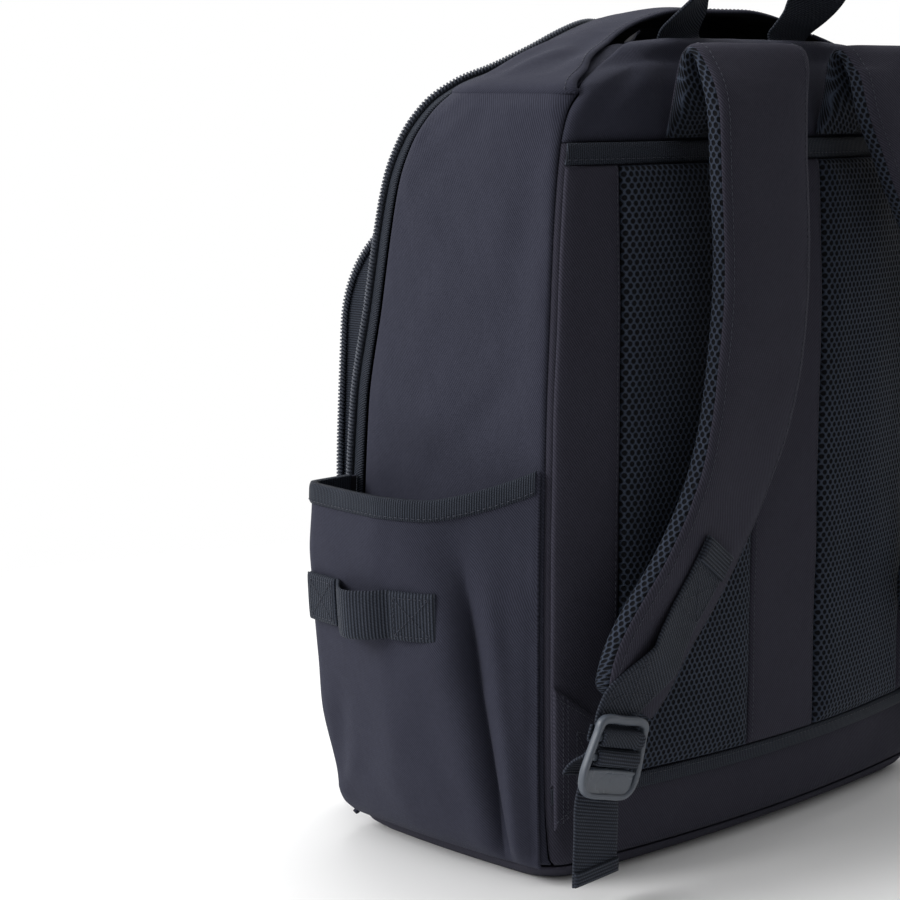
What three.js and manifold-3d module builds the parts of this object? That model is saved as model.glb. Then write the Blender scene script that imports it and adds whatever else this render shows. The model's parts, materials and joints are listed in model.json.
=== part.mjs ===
// A soft tool backpack of woven cloth, standing on its base, in millimetres.
// +Z is up, the padded back with the shoulder straps faces +Y, and the front pocket faces -Y.
// The origin is the middle of the flat base. Cloth pieces are thin walls that meet at sewn seams.

import * as THREE from "three";
import { mergeVertices } from "three/addons/utils/BufferGeometryUtils.js";
import Module from "manifold-3d";

const wasm = await Module();
wasm.setup();

// The bag's main sizes.
const bodyWidth = 306;
const bodyDepth = 144; // from the back seam to the zip, along the base
const bodyHeight = 425;
const lidReach = 1.5; // how far the front panel stands in front of the zip
const backBulge = 18; // how far the stuffed back swells behind its seams
const sideBulge = 3;
const cloth = 2.4; // a wall of lined, coated cloth
const seamGap = 0.4; // two pieces that are sewn together, or one on the other

// Seams and bands of the shell.
const baseRise = 9; // the base panel's turned-up edge
const topSeamZ = 0.9035 * bodyHeight; // the side panels end here and the top band begins
const yokeSeamZ = 0.8424 * bodyHeight; // the back panel ends here and the yoke begins
const backTurn = 3; // how far the back panel's cloth turns round the corner
const mouthHalf = 131; // half the length of the mouth
const mouthLow = 0.8965 * bodyHeight; // the mouth's height at its ends
const mouthHigh = 0.96 * bodyHeight; // the yoke's edge in the middle
const mouthGap = 30; // from the seam forward to the top band's edge
const zipTape = 9;
const zipSet = 1.7; // the tape begins this far behind the front corner
const coilRadius = 2.4;

// The padded back.
const meshInner = 27; // from the middle to each mesh panel
const meshOuter = 115;
const meshPad = 6.5;
const stripPad = 3.4; // the plain cloth strips beside the mesh
const bandWide = 10; // woven tape above the mesh
const lowBandWide = 8; // and below it
const bandThick = 1.3;
const lowBandTop = 51;
const edgeMargin = 1.5; // from the outer strip and the tapes to the seam

// Webbing, straps and handle.
const webWide = 30;
const webThick = 1.6;
const strapWide = 68;
const strapRootWide = 61;
const strapEndWide = 50;
const strapThick = 11;
const strapMesh = 2;
const strapX = 58; // the strap's middle at its root
const strapReach = 27; // from the yoke's root seam out to the hanging strap's middle
const strapTop = 0.9388 * bodyHeight; // the middle of the fold at the shoulder
const strapSwing = 72; // how far the strap's end hangs outwards of its root
const strapEndZ = 92;
const strapSteps = 27;
const handleX = 43;
const handleRise = 56;
const handleLean = 34;
const handleTack = 12; // the sewn end inside the yoke

// The side pockets, with their bound hem.
const pocketBulge = 35;
const pocketHem = 188;
const hemRise = 17; // the hem climbs this much to the back seam
const pocketFoot = 10;
const pocketCloth = 2;
const pleatDepth = 14;
const loopLong = 81;
const loopWide = 24;
const loopStand = 10.5; // the free middle of the tool loop stands this far off the pocket
const loopTab = 24;
const loopZ = 132;

// The front pocket.
const frontHalf = 133;
const frontTop = 0.748 * bodyHeight;
const frontTopRound = 58;
const frontFootRound = 26;
const frontFoot = 11;
const frontDeep = 31; // from the front panel to the pocket's rim, at its foot
const frontDome = 6;
const frontLean = 0.35; // the share of the front panel's lean that the pocket takes
const frontSlotLow = 140; // the pocket's zip is open above this
const frontSlot = 15;

// The adjuster buckle, in its own plane.
const buckleWide = 40;
const buckleTall = 41;
const buckleThick = 4;
const buckleBar = 4;
const slotWide = 32.5;
const buckleOutwards = 17; // from the strap's end
const buckleBehind = 37; // from the back seam
const buckleZ = 72.6;
const buckleSwing = -0.26; // its top leans towards the middle of the back
const buckleTip = 0.1; // and its foot stands out
const tailLong = 41; // webbing that hangs below the buckle
const wingLow = 31;
const wingHigh = 101;
const wingReach = 24;

const half = bodyWidth / 2;
const seamY = bodyDepth / 2;
const buckleAt = new THREE.Vector3(strapX + strapSwing + buckleOutwards, seamY + buckleBehind, buckleZ);

// One row for each level of the shell. up is a share of bodyHeight and wide of half the width.
// back, front and zip are shares of bodyDepth forward of the back seam, and the rounds are
// shares of half the width. bulge is a share of backBulge.
const levels = [
  { up: 0, wide: 0.93, back: 0.05, front: 0.985, zip: 0.95, backRound: 0.12, frontRound: 0.16, bulge: 0.4 },
  { up: 0.012, wide: 0.972, back: 0.016, front: 1.0, zip: 0.98, backRound: 0.1, frontRound: 0.13, bulge: 0.6 },
  { up: 0.033, wide: 0.996, back: 0, front: 1.0, zip: 0.997, backRound: 0.07, frontRound: 0.1, bulge: 0.78 },
  { up: 0.14, wide: 1.007, back: 0, front: 1.0, zip: 0.995, backRound: 0.04, frontRound: 0.09, bulge: 1 },
  { up: 0.35, wide: 1.013, back: 0, front: 0.985, zip: 0.975, backRound: 0.035, frontRound: 0.09, bulge: 1 },
  { up: 0.528, wide: 1.007, back: 0, front: 0.955, zip: 0.951, backRound: 0.035, frontRound: 0.09, bulge: 1 },
  { up: 0.65, wide: 0.993, back: 0, front: 0.9, zip: 0.896, backRound: 0.035, frontRound: 0.1, bulge: 1 },
  { up: 0.734, wide: 0.982, back: 0, front: 0.868, zip: 0.862, backRound: 0.035, frontRound: 0.11, bulge: 0.92 },
  { up: 0.794, wide: 0.97, back: 0, front: 0.84, zip: 0.834, backRound: 0.04, frontRound: 0.12, bulge: 0.8 },
  { up: 0.84, wide: 0.955, back: 0, front: 0.8, zip: 0.79, backRound: 0.05, frontRound: 0.15, bulge: 0.68 },
  { up: 0.875, wide: 0.935, back: 0, front: 0.75, zip: 0.73, backRound: 0.07, frontRound: 0.2, bulge: 0.56 },
  { up: 0.903, wide: 0.888, back: 0.004, front: 0.685, zip: 0.667, backRound: 0.1, frontRound: 0.25, bulge: 0.42 },
  { up: 0.925, wide: 0.775, back: 0.018, front: 0.62, zip: 0.613, backRound: 0.14, frontRound: 0.29, bulge: 0.26 },
  { up: 0.944, wide: 0.66, back: 0.045, front: 0.575, zip: 0.575, backRound: 0.17, frontRound: 0.31, bulge: 0.14 },
  { up: 0.96, wide: 0.56, back: 0.078, front: 0.547, zip: 0.553, backRound: 0.19, frontRound: 0.3, bulge: 0.05 },
  { up: 0.974, wide: 0.455, back: 0.118, front: 0.523, zip: 0.54, backRound: 0.2, frontRound: 0.28, bulge: 0 },
  { up: 0.986, wide: 0.34, back: 0.172, front: 0.495, zip: 0.528, backRound: 0.2, frontRound: 0.22, bulge: 0 },
  { up: 0.994, wide: 0.235, back: 0.23, front: 0.465, zip: 0.515, backRound: 0.15, frontRound: 0.15, bulge: 0 },
  { up: 1, wide: 0.12, back: 0.3, front: 0.42, zip: 0.505, backRound: 0.07, frontRound: 0.07, bulge: 0 },
];

// A column of the levels table at a height, on straight lines between its rows.
function level(column, z) {
  const up = THREE.MathUtils.clamp(z / bodyHeight, 0, 1);
  let i = 1;
  while (i < levels.length - 1 && levels[i].up < up) i += 1;
  const a = levels[i - 1];
  const b = levels[i];
  return THREE.MathUtils.mapLinear(up, a.up, b.up, a[column], b[column]);
}

const wideAt = (z) => level("wide", z) * half;
const backAt = (z) => seamY - level("back", z) * bodyDepth;
const frontAt = (z) => seamY - level("front", z) * bodyDepth - lidReach;
const zipAt = (z) => seamY - level("zip", z) * bodyDepth;

// Where the outside of the back lies, behind a point of the back view.
function backFace(x, z) {
  const across = Math.min(Math.abs(x) / wideAt(z), 1);
  return backAt(z) + level("bulge", z) * backBulge * (1 - across * across);
}

// Where the outside of a side panel lies, for a point of the side view.
function sideFace(y, z) {
  const along = THREE.MathUtils.clamp((y - frontAt(z)) / (backAt(z) - frontAt(z)), 0, 1);
  return wideAt(z) + sideBulge * Math.sin(Math.PI * along);
}

// A closed body through rings of equal length, with flat ends, facing out.
function loft(rings) {
  const count = rings[0].length;
  const points = rings.flat();
  const faces = [];
  for (let r = 0; r < rings.length - 1; r += 1) {
    for (let i = 0; i < count; i += 1) {
      const a = r * count + i;
      const b = r * count + ((i + 1) % count);
      faces.push(a, b, b + count, a, b + count, a + count);
    }
  }
  const last = (rings.length - 1) * count;
  for (let i = 1; i < count - 1; i += 1) {
    faces.push(0, i + 1, i);
    faces.push(last, last + i, last + i + 1);
  }
  const geometry = new THREE.BufferGeometry().setFromPoints(points);
  geometry.setIndex(faces);
  return geometry;
}

// So many even shares from 0 to 1.
const evenly = (count) => Array.from({ length: count + 1 }, (_, i) => i / count);

// A thin wall over a surface: point(u, v) gives the surface, across and along are its lines' shares
// in u and v, and low and high are its two faces' distances along the surface's normal, each a
// number or a function of u and v.
function wall(point, across, along, low, high) {
  const step = 1e-3;
  const reach = (value, u, v) => (typeof value === "function" ? value(u, v) : value);
  const lifted = (u, v, side) => {
    const du = point(Math.min(u + step, 1), v).sub(point(Math.max(u - step, 0), v));
    const dv = point(u, Math.min(v + step, 1)).sub(point(u, Math.max(v - step, 0)));
    const normal = du.cross(dv).normalize();
    return point(u, v).addScaledVector(normal, reach(side, u, v));
  };
  const rings = along.map((v) => [
    ...across.map((u) => lifted(u, v, low)),
    ...[...across].reverse().map((u) => lifted(u, v, high)),
  ]);
  return closed(rings);
}

// The ends of a thin ring are joined as strips, because a fan would fold over itself.
function closed(rings) {
  const count = rings[0].length;
  const geometry = loft(rings);
  const faces = Array.from(geometry.index.array).slice(0, (rings.length - 1) * count * 6);
  const last = (rings.length - 1) * count;
  for (let i = 0; i < count / 2 - 1; i += 1) {
    const j = count - 1 - i;
    faces.push(i, j, i + 1, i + 1, j, j - 1);
    faces.push(last + i, last + i + 1, last + j, last + i + 1, last + j - 1, last + j);
  }
  geometry.setIndex(faces);
  return geometry;
}

// A flat woven strip along stations of { at, across, wide }, its thickness split on both sides.
function ribbon(stations, thick) {
  const rings = stations.map((station, i) => {
    const before = stations[Math.max(i - 1, 0)].at;
    const after = stations[Math.min(i + 1, stations.length - 1)].at;
    const run = after.clone().sub(before).normalize();
    const out = station.across.clone().cross(run).normalize().multiplyScalar(thick / 2);
    const side = station.across.clone().multiplyScalar(station.wide / 2);
    return [
      station.at.clone().add(side).add(out),
      station.at.clone().sub(side).add(out),
      station.at.clone().sub(side).sub(out),
      station.at.clone().add(side).sub(out),
    ];
  });
  return loft(rings);
}

// A solid of manifold-3d from a closed geometry, turned the right way round if it is inside out.
function solidOf(geometry) {
  const bare = new THREE.BufferGeometry().setAttribute("position", geometry.getAttribute("position"));
  if (geometry.index) bare.setIndex(geometry.index);
  const merged = mergeVertices(bare, 1e-4);
  const triangles = new Uint32Array(merged.index.array);
  const build = () =>
    new wasm.Manifold(
      new wasm.Mesh({
        numProp: 3,
        vertProperties: new Float32Array(merged.attributes.position.array),
        triVerts: triangles,
      }),
    );
  const solid = build();
  if (solid.volume() >= 0) return solid;
  for (let i = 0; i < triangles.length; i += 3) {
    [triangles[i + 1], triangles[i + 2]] = [triangles[i + 2], triangles[i + 1]];
  }
  return build();
}

function geometryOf(solid) {
  const mesh = solid.getMesh();
  const points = new Float32Array(mesh.numVert * 3);
  for (let i = 0; i < mesh.numVert; i += 1) {
    points.set(mesh.vertProperties.subarray(i * mesh.numProp, i * mesh.numProp + 3), i * 3);
  }
  const geometry = new THREE.BufferGeometry();
  geometry.setAttribute("position", new THREE.BufferAttribute(points, 3));
  geometry.setIndex(new THREE.BufferAttribute(new Uint32Array(mesh.triVerts), 1));
  return geometry;
}

// The same piece on the other side of the bag.
function mirrored(geometry) {
  const other = geometry.index ? geometry.clone() : mergeVertices(geometry.clone());
  other.scale(-1, 1, 1);
  const faces = other.index.array;
  for (let i = 0; i < faces.length; i += 3) {
    [faces[i + 1], faces[i + 2]] = [faces[i + 2], faces[i + 1]];
  }
  return other;
}

// A prism whose outline is drawn in the side view, as [y, z] pairs, between two places across the bag.
function sidePrism(outline, fromX, toX) {
  const shape = new THREE.Shape(outline.map(([y, z]) => new THREE.Vector2(y, z)));
  const prism = new THREE.ExtrudeGeometry(shape, { depth: toX - fromX, bevelEnabled: false });
  const toSideView = new THREE.Matrix4().makeBasis(
    new THREE.Vector3(0, 1, 0),
    new THREE.Vector3(0, 0, 1),
    new THREE.Vector3(1, 0, 0),
  );
  prism.applyMatrix4(toSideView);
  prism.translate(fromX, 0, 0);
  return solidOf(prism);
}

const far = bodyWidth * 2; // well past the bag on every side
const sky = bodyHeight + far;

// One level ring of the shell, drawn inwards by inset, anticlockwise seen from above.
function shellRing(z, atZ, inset) {
  const wide = Math.max(wideAt(z) - inset, 2);
  const back = backAt(z) - inset;
  const front = frontAt(z) + inset;
  const backRound = Math.max(level("backRound", z) * half - inset, 0.6);
  const frontRound = Math.max(level("frontRound", z) * half - inset, 1.2);
  const bulge = level("bulge", z) * backBulge;
  const depth = back - front;
  const backDeep = Math.min(backRound, depth * 0.45);
  const frontDeepRound = Math.min(frontRound, depth * 0.45);
  const right = [];
  const cornerSteps = 3;
  const backCornerSteps = 2;
  const sideSteps = 4;
  const backSteps = 5;
  const frontSteps = 2;
  for (let i = 0; i <= frontSteps - 1; i += 1) {
    right.push([((wide - frontRound) * i) / frontSteps, front]);
  }
  for (let i = 0; i <= cornerSteps; i += 1) {
    const turn = (Math.PI / 2) * (i / cornerSteps);
    const x = wide - frontRound + frontRound * Math.sin(turn);
    right.push([x, front + frontDeepRound - frontDeepRound * Math.cos(turn)]);
  }
  for (let i = 1; i < sideSteps; i += 1) {
    const y = THREE.MathUtils.lerp(front + frontDeepRound, back - backDeep, i / sideSteps);
    right.push([wide + sideBulge * Math.sin((Math.PI * (y - front)) / depth), y]);
  }
  for (let i = 0; i <= backCornerSteps; i += 1) {
    const turn = (Math.PI / 2) * (i / backCornerSteps);
    const x = wide - backRound + backRound * Math.cos(turn);
    right.push([x, back - backDeep + backDeep * Math.sin(turn)]);
  }
  for (let i = 1; i <= backSteps; i += 1) {
    right.push([((wide - backRound) * (backSteps - i)) / backSteps, back]);
  }
  const swollen = ([x, y]) => {
    const across = Math.min(Math.abs(x) / wide, 1);
    const behind = THREE.MathUtils.smoothstep(y, front + depth * 0.5, back);
    return new THREE.Vector3(x, y + bulge * (1 - across * across) * behind, atZ);
  };
  const left = right.slice(1, -1).reverse().map(([x, y]) => [-x, y]);
  return [...right, ...left].map(swollen);
}

function shell() {
  const rows = levels.map((row) => row.up * bodyHeight);
  const outer = loft(rows.map((z) => shellRing(z, z, 0)));
  const inner = loft(
    rows.map((z) => shellRing(z, THREE.MathUtils.mapLinear(z, 0, bodyHeight, cloth, bodyHeight - cloth), cloth)),
  );
  return solidOf(outer).subtract(solidOf(inner));
}

// What the mouth takes away: above the yoke's edge and behind the top band's edge, slice by slice.
const mouthEnd = (x) => Math.min(Math.abs(x) / mouthHalf, 1);
const yokeEdge = (x) => THREE.MathUtils.lerp(mouthHigh, mouthLow, mouthEnd(x) ** 5);
const bandEdge = (x) => seamY - mouthGap * (1 - mouthEnd(x) ** 4);

function mouthCut() {
  const slices = 14;
  const rings = [];
  for (let i = 0; i <= slices; i += 1) {
    const x = THREE.MathUtils.lerp(-mouthHalf, mouthHalf, i / slices);
    rings.push([
      new THREE.Vector3(x, bandEdge(x), yokeEdge(x)),
      new THREE.Vector3(x, far, yokeEdge(x)),
      new THREE.Vector3(x, far, sky),
      new THREE.Vector3(x, bandEdge(x), sky),
    ]);
  }
  return solidOf(loft(rings));
}

// The zip's line in the side view, moved forward by a distance, from below the bag to above it.
function zipLine(forward) {
  const rows = levels.map((row) => row.up * bodyHeight);
  const line = rows.map((z) => [zipAt(z) - forward, z]);
  return [[line[0][0], -far], ...line, [line[line.length - 1][0], sky]];
}

const wholeShell = shell();
const rightHalf = sidePrism([[-far, -far], [far, -far], [far, sky], [-far, sky]], 0, far);
const yokeLean = (mouthGap * 3) / 5; // the cut follows the yoke as it leans forward
const backTop = mouthHigh + cloth;
const backCut = (shift) => [
  [seamY - backTurn + shift, -far],
  [seamY - backTurn + shift, mouthLow],
  [seamY - backTurn - yokeLean + shift, backTop],
  [seamY - backTurn - yokeLean + shift, sky],
];
const behindCut = sidePrism([...backCut(seamGap / 2), [far, sky], [far, -far]], -far, far);
const aheadOfCut = sidePrism([...backCut(-seamGap / 2), [-far, sky], [-far, -far]], -far, far);
const slab = (low, high) => sidePrism([[-far, low], [far, low], [far, high], [-far, high]], -far, far);
const tapeEnd = zipSet + zipTape;
const aheadOfZip = sidePrism([...zipLine(seamGap - zipSet), [-far, sky], [-far, -far]], -far, far);
const behindZip = sidePrism([...zipLine(-tapeEnd - seamGap), [far, sky], [far, -far]], -far, far);
const zipStrip = sidePrism([...zipLine(-zipSet), ...zipLine(-tapeEnd).reverse()], -far, far);

const aboveBase = slab(baseRise + seamGap, sky);
const middle = wholeShell.intersect(aheadOfCut).intersect(behindZip).intersect(aboveBase);
const mouth = mouthCut();

function sidePanel() {
  return geometryOf(middle.intersect(slab(0, topSeamZ)).intersect(rightHalf));
}

function topBand() {
  return geometryOf(middle.intersect(slab(topSeamZ + seamGap, sky)).subtract(mouth));
}

function backPanel() {
  return geometryOf(wholeShell.intersect(behindCut).intersect(slab(baseRise + seamGap, yokeSeamZ)));
}

function yoke() {
  const piece = wholeShell.intersect(behindCut).intersect(slab(yokeSeamZ + seamGap, sky));
  return geometryOf(piece.subtract(mouth));
}

// The coil lies on the tape all round the zip, just clear of it.
function coil(radius, points) {
  const sides = 5;
  const lift = radius + seamGap * 2;
  const rings = points.map(({ at, out }, i) => {
    const before = points[Math.max(i - 1, 0)].at;
    const after = points[Math.min(i + 1, points.length - 1)].at;
    const run = after.clone().sub(before).normalize();
    const side = run.clone().cross(out).normalize();
    const up = side.clone().cross(run).normalize();
    const ring = [];
    for (let k = 0; k < sides; k += 1) {
      const turn = (k / sides) * Math.PI * 2;
      ring.push(
        at
          .clone()
          .addScaledVector(out, lift)
          .addScaledVector(side, radius * Math.cos(turn))
          .addScaledVector(up, radius * Math.sin(turn)),
      );
    }
    return ring;
  });
  return loft(rings);
}

// The outside of the shell at the coil, found on the level ring by walking it to the coil's line.
const coilAt = (z) => zipAt(z) + zipSet + coilRadius / 2;

function coilSpot(z) {
  const ring = shellRing(z, z, 0).filter((p) => p.x >= 0);
  const y = coilAt(z);
  for (let i = 1; i < ring.length; i += 1) {
    const a = ring[i - 1];
    const b = ring[i];
    if (a.y <= y && b.y > y) {
      const at = a.clone().lerp(b, (y - a.y) / (b.y - a.y));
      return { at, edge: b.clone().sub(a) };
    }
  }
  return null;
}

// Up one side of the front panel, over the arch and down the other side.
function mainZip() {
  const lowZ = baseRise + zipTape / 2;
  const onArch = (z) => coilAt(z) < frontAt(z);
  let highZ = topSeamZ;
  while (!onArch(highZ)) highZ += 0.25;
  const steps = 26;
  const right = evenly(steps)
    .map((share) => THREE.MathUtils.lerp(lowZ, highZ - 0.3, 1 - (1 - share) ** 1.7))
    .map((z) => ({ z, spot: coilSpot(z), above: coilSpot(z - 0.5) }))
    .filter(({ spot, above }) => spot && above)
    .map(({ spot, above }) => {
      const out = spot.edge.clone().cross(spot.at.clone().sub(above.at)).normalize();
      return { at: spot.at, out: out.x - out.y + out.z < 0 ? out.negate() : out };
    });
  const flip = (v) => new THREE.Vector3(-v.x, v.y, v.z);
  const left = [...right].reverse().map(({ at, out }) => ({ at: flip(at), out: flip(out) }));
  return coil(coilRadius, [...right, ...left]);
}

// A pad or tape laid on the back between two places across and two heights, from low to high off it.
// A place across is a number, or a function of the height.
const edge = (place, z) => (typeof place === "function" ? place(z) : place);
const seamX = (z) => wideAt(z) - edgeMargin;

function onBack(fromX, toX, lowZ, highZ, low, high, acrossSteps) {
  const point = (u, v) => {
    const z = THREE.MathUtils.lerp(lowZ, highZ, v);
    const x = THREE.MathUtils.lerp(edge(toX, z), edge(fromX, z), u);
    return new THREE.Vector3(x, backFace(x, z), z);
  };
  return wall(point, evenly(acrossSteps), backRows(lowZ, highZ), low, high);
}

// Shares of a height range at every level of the shell in it, with more between levels far apart.
function backRows(lowZ, highZ) {
  const inner = levels.map((row) => row.up * bodyHeight).filter((z) => z > lowZ + 1 && z < highZ - 1);
  const stops = [lowZ, ...inner, highZ];
  const rows = [0];
  for (let i = 1; i < stops.length; i += 1) {
    const parts = Math.ceil((stops[i] - stops[i - 1]) / 45);
    for (let k = 1; k <= parts; k += 1) {
      const z = THREE.MathUtils.lerp(stops[i - 1], stops[i], k / parts);
      rows.push((z - lowZ) / (highZ - lowZ));
    }
  }
  return rows;
}

const padDome = (thick, edge) => (u, v) => {
  const dome = Math.sqrt(Math.sin(Math.PI * THREE.MathUtils.clamp(u, 0.001, 0.999)));
  const run = Math.min(1, Math.sin(Math.PI * THREE.MathUtils.clamp(v, 0.001, 0.999)) * 6) ** 0.5;
  return seamGap + THREE.MathUtils.lerp(edge, thick, dome * run);
};

const padLow = lowBandTop + seamGap;
const padHigh = yokeSeamZ - bandWide - seamGap;

function meshPanel() {
  return onBack(meshInner + seamGap, meshOuter - seamGap, padLow, padHigh, seamGap, padDome(meshPad, 2.4), 7);
}

function spineStrip() {
  return onBack(-meshInner, meshInner, padLow, padHigh, seamGap, padDome(stripPad, 2.2), 4);
}

function edgeStrip() {
  return onBack(meshOuter, seamX, padLow, padHigh, seamGap, padDome(stripPad, 2.2), 3);
}

function backTape(lowZ, highZ) {
  return onBack((z) => -seamX(z), seamX, lowZ, highZ, seamGap, seamGap + bandThick, 16);
}

// The side pocket. u runs from its front seam to its back seam and v from its foot to its hem.
// Each row gives the cloth's place along the side as a share of the panel, how far it stands out
// as a share of the bulge, and how much of the pleat it takes.
const pocketPlan = [
  { along: 0.0, out: 0.0, pleat: 0 },
  { along: 0.004, out: 0.45, pleat: 0 },
  { along: 0.012, out: 0.84, pleat: 0 },
  { along: 0.06, out: 0.95, pleat: 0 },
  { along: 0.16, out: 0.97, pleat: 0 },
  { along: 0.3, out: 0.99, pleat: 0 },
  { along: 0.42, out: 1.0, pleat: 0 },
  { along: 0.53, out: 0.92, pleat: 0 },
  { along: 0.66, out: 0.72, pleat: 0 },
  { along: 0.76, out: 0.52, pleat: 0.15 },
  { along: 0.84, out: 0.34, pleat: 0.8 },
  { along: 0.9, out: 0.2, pleat: 0.2 },
  { along: 0.95, out: 0.1, pleat: 0 },
  { along: 1.0, out: 0.0, pleat: 0 },
];
// How far the pocket stands out at each share of its height.
const pocketRise = [
  { up: 0, out: 0.0 },
  { up: 0.05, out: 0.28 },
  { up: 0.14, out: 0.46 },
  { up: 0.3, out: 0.65 },
  { up: 0.5, out: 0.83 },
  { up: 0.7, out: 0.95 },
  { up: 0.85, out: 1.0 },
  { up: 1, out: 1.0 },
];

function fromTable(table, key, value, column) {
  let i = 1;
  while (i < table.length - 1 && table[i][key] < value) i += 1;
  const a = table[i - 1];
  const b = table[i];
  const share = THREE.MathUtils.clamp((value - a[key]) / (b[key] - a[key]), 0, 1);
  return THREE.MathUtils.lerp(a[column], b[column], share);
}

function planAt(u, column) {
  const place = u * (pocketPlan.length - 1);
  const i = Math.min(Math.floor(place), pocketPlan.length - 2);
  return THREE.MathUtils.lerp(pocketPlan[i][column], pocketPlan[i + 1][column], place - i);
}

const pocketFront = (z) => zipAt(z) + zipSet + coilRadius * 2.5;
const pocketBackY = seamY - backTurn - 1.5;

function pocketPoint(u, v) {
  const along = planAt(u, "along");
  const hem = pocketHem + hemRise * Math.max(0, (along - 0.62) / 0.38) ** 1.5;
  const z = THREE.MathUtils.lerp(pocketFoot, hem, v);
  const rise = fromTable(pocketRise, "up", v, "out");
  const pleat = planAt(u, "pleat") * pleatDepth * (1 - v) ** 0.7 * Math.min(1, v * 5);
  const y = THREE.MathUtils.lerp(pocketFront(z), pocketBackY, along);
  const foot = seamGap + 0.3;
  const out = foot + Math.max(0, planAt(u, "out") * pocketBulge * rise - pleat);
  return new THREE.Vector3(sideFace(y, z) + out, y, z);
}

// The pocket's lines across, one for each row of its plan, and the share where its binding begins.
const pocketLines = evenly(pocketPlan.length - 1);
const bindingFoot = 1 - bandWide / (pocketHem - pocketFoot);

function sidePocket() {
  return wall(pocketPoint, pocketLines, [...pocketRise.map((row) => row.up).slice(0, -1), bindingFoot, 1], 0, pocketCloth);
}

function pocketBinding() {
  const low = pocketCloth + seamGap * 1.3;
  return wall(pocketPoint, pocketLines.slice(1, -1), [bindingFoot, 1], low, low + bandThick);
}

// The webbing loop that holds a tool against the pocket: sewn at both ends and free in the middle.
function toolLoop() {
  const pocketLong = pocketBackY - pocketFront(loopZ);
  const startY = pocketFront(loopZ) + 6;
  const place = (u) => startY + loopLong * u;
  const rise = (z) => (z - pocketFoot) / (pocketHem - pocketFoot);
  const uOfY = (y) => {
    const along = (y - pocketFront(loopZ)) / pocketLong;
    let i = 3;
    while (i < pocketPlan.length - 2 && pocketPlan[i].along < along) i += 1;
    const a = pocketPlan[i - 1];
    const b = pocketPlan[i];
    return (i - 1 + (along - a.along) / (b.along - a.along)) / (pocketPlan.length - 1);
  };
  const point = (u, v) => {
    const y = place(u);
    const z = loopZ + loopWide * (v - 0.5);
    return pocketPoint(uOfY(y), rise(z));
  };
  const tab = loopTab / loopLong;
  const lift = (u) => {
    const share = THREE.MathUtils.clamp((u - tab) / (1 - 2 * tab), 0, 1);
    return pocketCloth + seamGap * 2.2 + loopStand * Math.sin(Math.PI * share) ** 0.8;
  };
  return wall(point, evenly(20), evenly(1), lift, (u) => lift(u) + webThick);
}

// The front pocket: a domed tray on the front panel, whose zip is open above frontSlotLow.
function trayRing(inset, y, z0) {
  const wide = frontHalf - inset;
  const low = frontFoot + inset;
  const high = frontTop - inset;
  const round = { top: frontTopRound, foot: frontFootRound };
  const ring = [];
  const corner = (cx, cz, r, from) => {
    const steps = 5;
    for (let i = 0; i <= steps; i += 1) {
      const turn = from + (Math.PI / 2) * (i / steps);
      ring.push(new THREE.Vector3(cx + r * Math.cos(turn), y, cz + r * Math.sin(turn)));
    }
  };
  corner(wide - round.top, high - round.top, round.top, 0);
  corner(-wide + round.top, high - round.top, round.top, Math.PI / 2);
  corner(-wide + round.foot, low + round.foot, round.foot, Math.PI);
  corner(wide - round.foot, low + round.foot, round.foot, Math.PI * 1.5);
  return ring.map((p) => p.setY(p.y + (z0 ? z0(p) : 0)));
}

function frontPocket() {
  const clear = seamGap;
  const lean = (p) => frontLean * (frontAt(p.z) - frontAt(frontFoot));
  const base = frontAt(frontFoot);
  const rimY = base - frontDeep;
  const rows = [
    { y: base + frontDeep * 1.3, inset: 0 },
    { y: rimY + frontDeep * 0.13, inset: 0 },
    { y: rimY, inset: frontHalf * 0.011 },
    { y: rimY - frontDome * 0.45, inset: frontHalf * 0.09 },
    { y: rimY - frontDome * 0.8, inset: frontHalf * 0.256 },
    { y: rimY - frontDome, inset: frontHalf * 0.41 },
  ];
  const trayOf = (shrink, forward) =>
    solidOf(loft(rows.map((row) => trayRing(row.inset + shrink, row.y + forward, lean))));
  const outer = trayOf(0, 0);
  const inner = trayOf(pocketCloth, pocketCloth);
  const bagLine = levels.map((row) => row.up * bodyHeight);
  const bag = solidOf(loft(bagLine.map((z) => shellRing(z, z, -clear))));
  const front = base - frontDeep;
  const slotLine = (shift) => [
    [front + shift + lean({ z: frontSlotLow }), frontSlotLow],
    [front + shift + lean({ z: frontTop }), frontTop + 20],
  ];
  const [a, b] = slotLine(frontDeep - frontSlot);
  const [c, d] = slotLine(far);
  const slot = sidePrism([a, c, d, b], -far, far);
  const tray = outer.subtract(inner).subtract(bag).subtract(slot);
  const parts = tray.decompose();
  return geometryOf(parts.sort((p, q) => q.volume() - p.volume())[0]);
}

// The padded straps: up from the yoke's seam, over the shoulder fold and down to the buckle. The
// middle line of each, with x outwards from strapX, y out from the root and z down from strapTop as
// shares of the lengths below. The one strap hangs near the middle and the other is spread.
const strapRootY = backFace(strapX, yokeSeamZ) + strapThick / 2 + strapMesh;
const strapDrop = strapTop - strapEndZ;
const strapFold = [
  [0, 0, 0.127],
  [0, 0.01, 0.085],
  [0, 0.06, 0.045],
  [0, 0.2, 0.016],
  [0, 0.53, 0.003],
  [0, 0.86, 0.016],
  [0, 1.0, 0.048],
];
const hangingStrap = [
  ...strapFold,
  [-0.01, 1.06, 0.17],
  [-0.06, 1.06, 0.31],
  [-0.06, 1.0, 0.44],
  [0.02, 0.9, 0.58],
  [0.2, 0.72, 0.71],
  [0.45, 0.6, 0.81],
  [0.76, 0.47, 0.905],
  [1.0, 0.37, 1.0],
];
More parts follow.
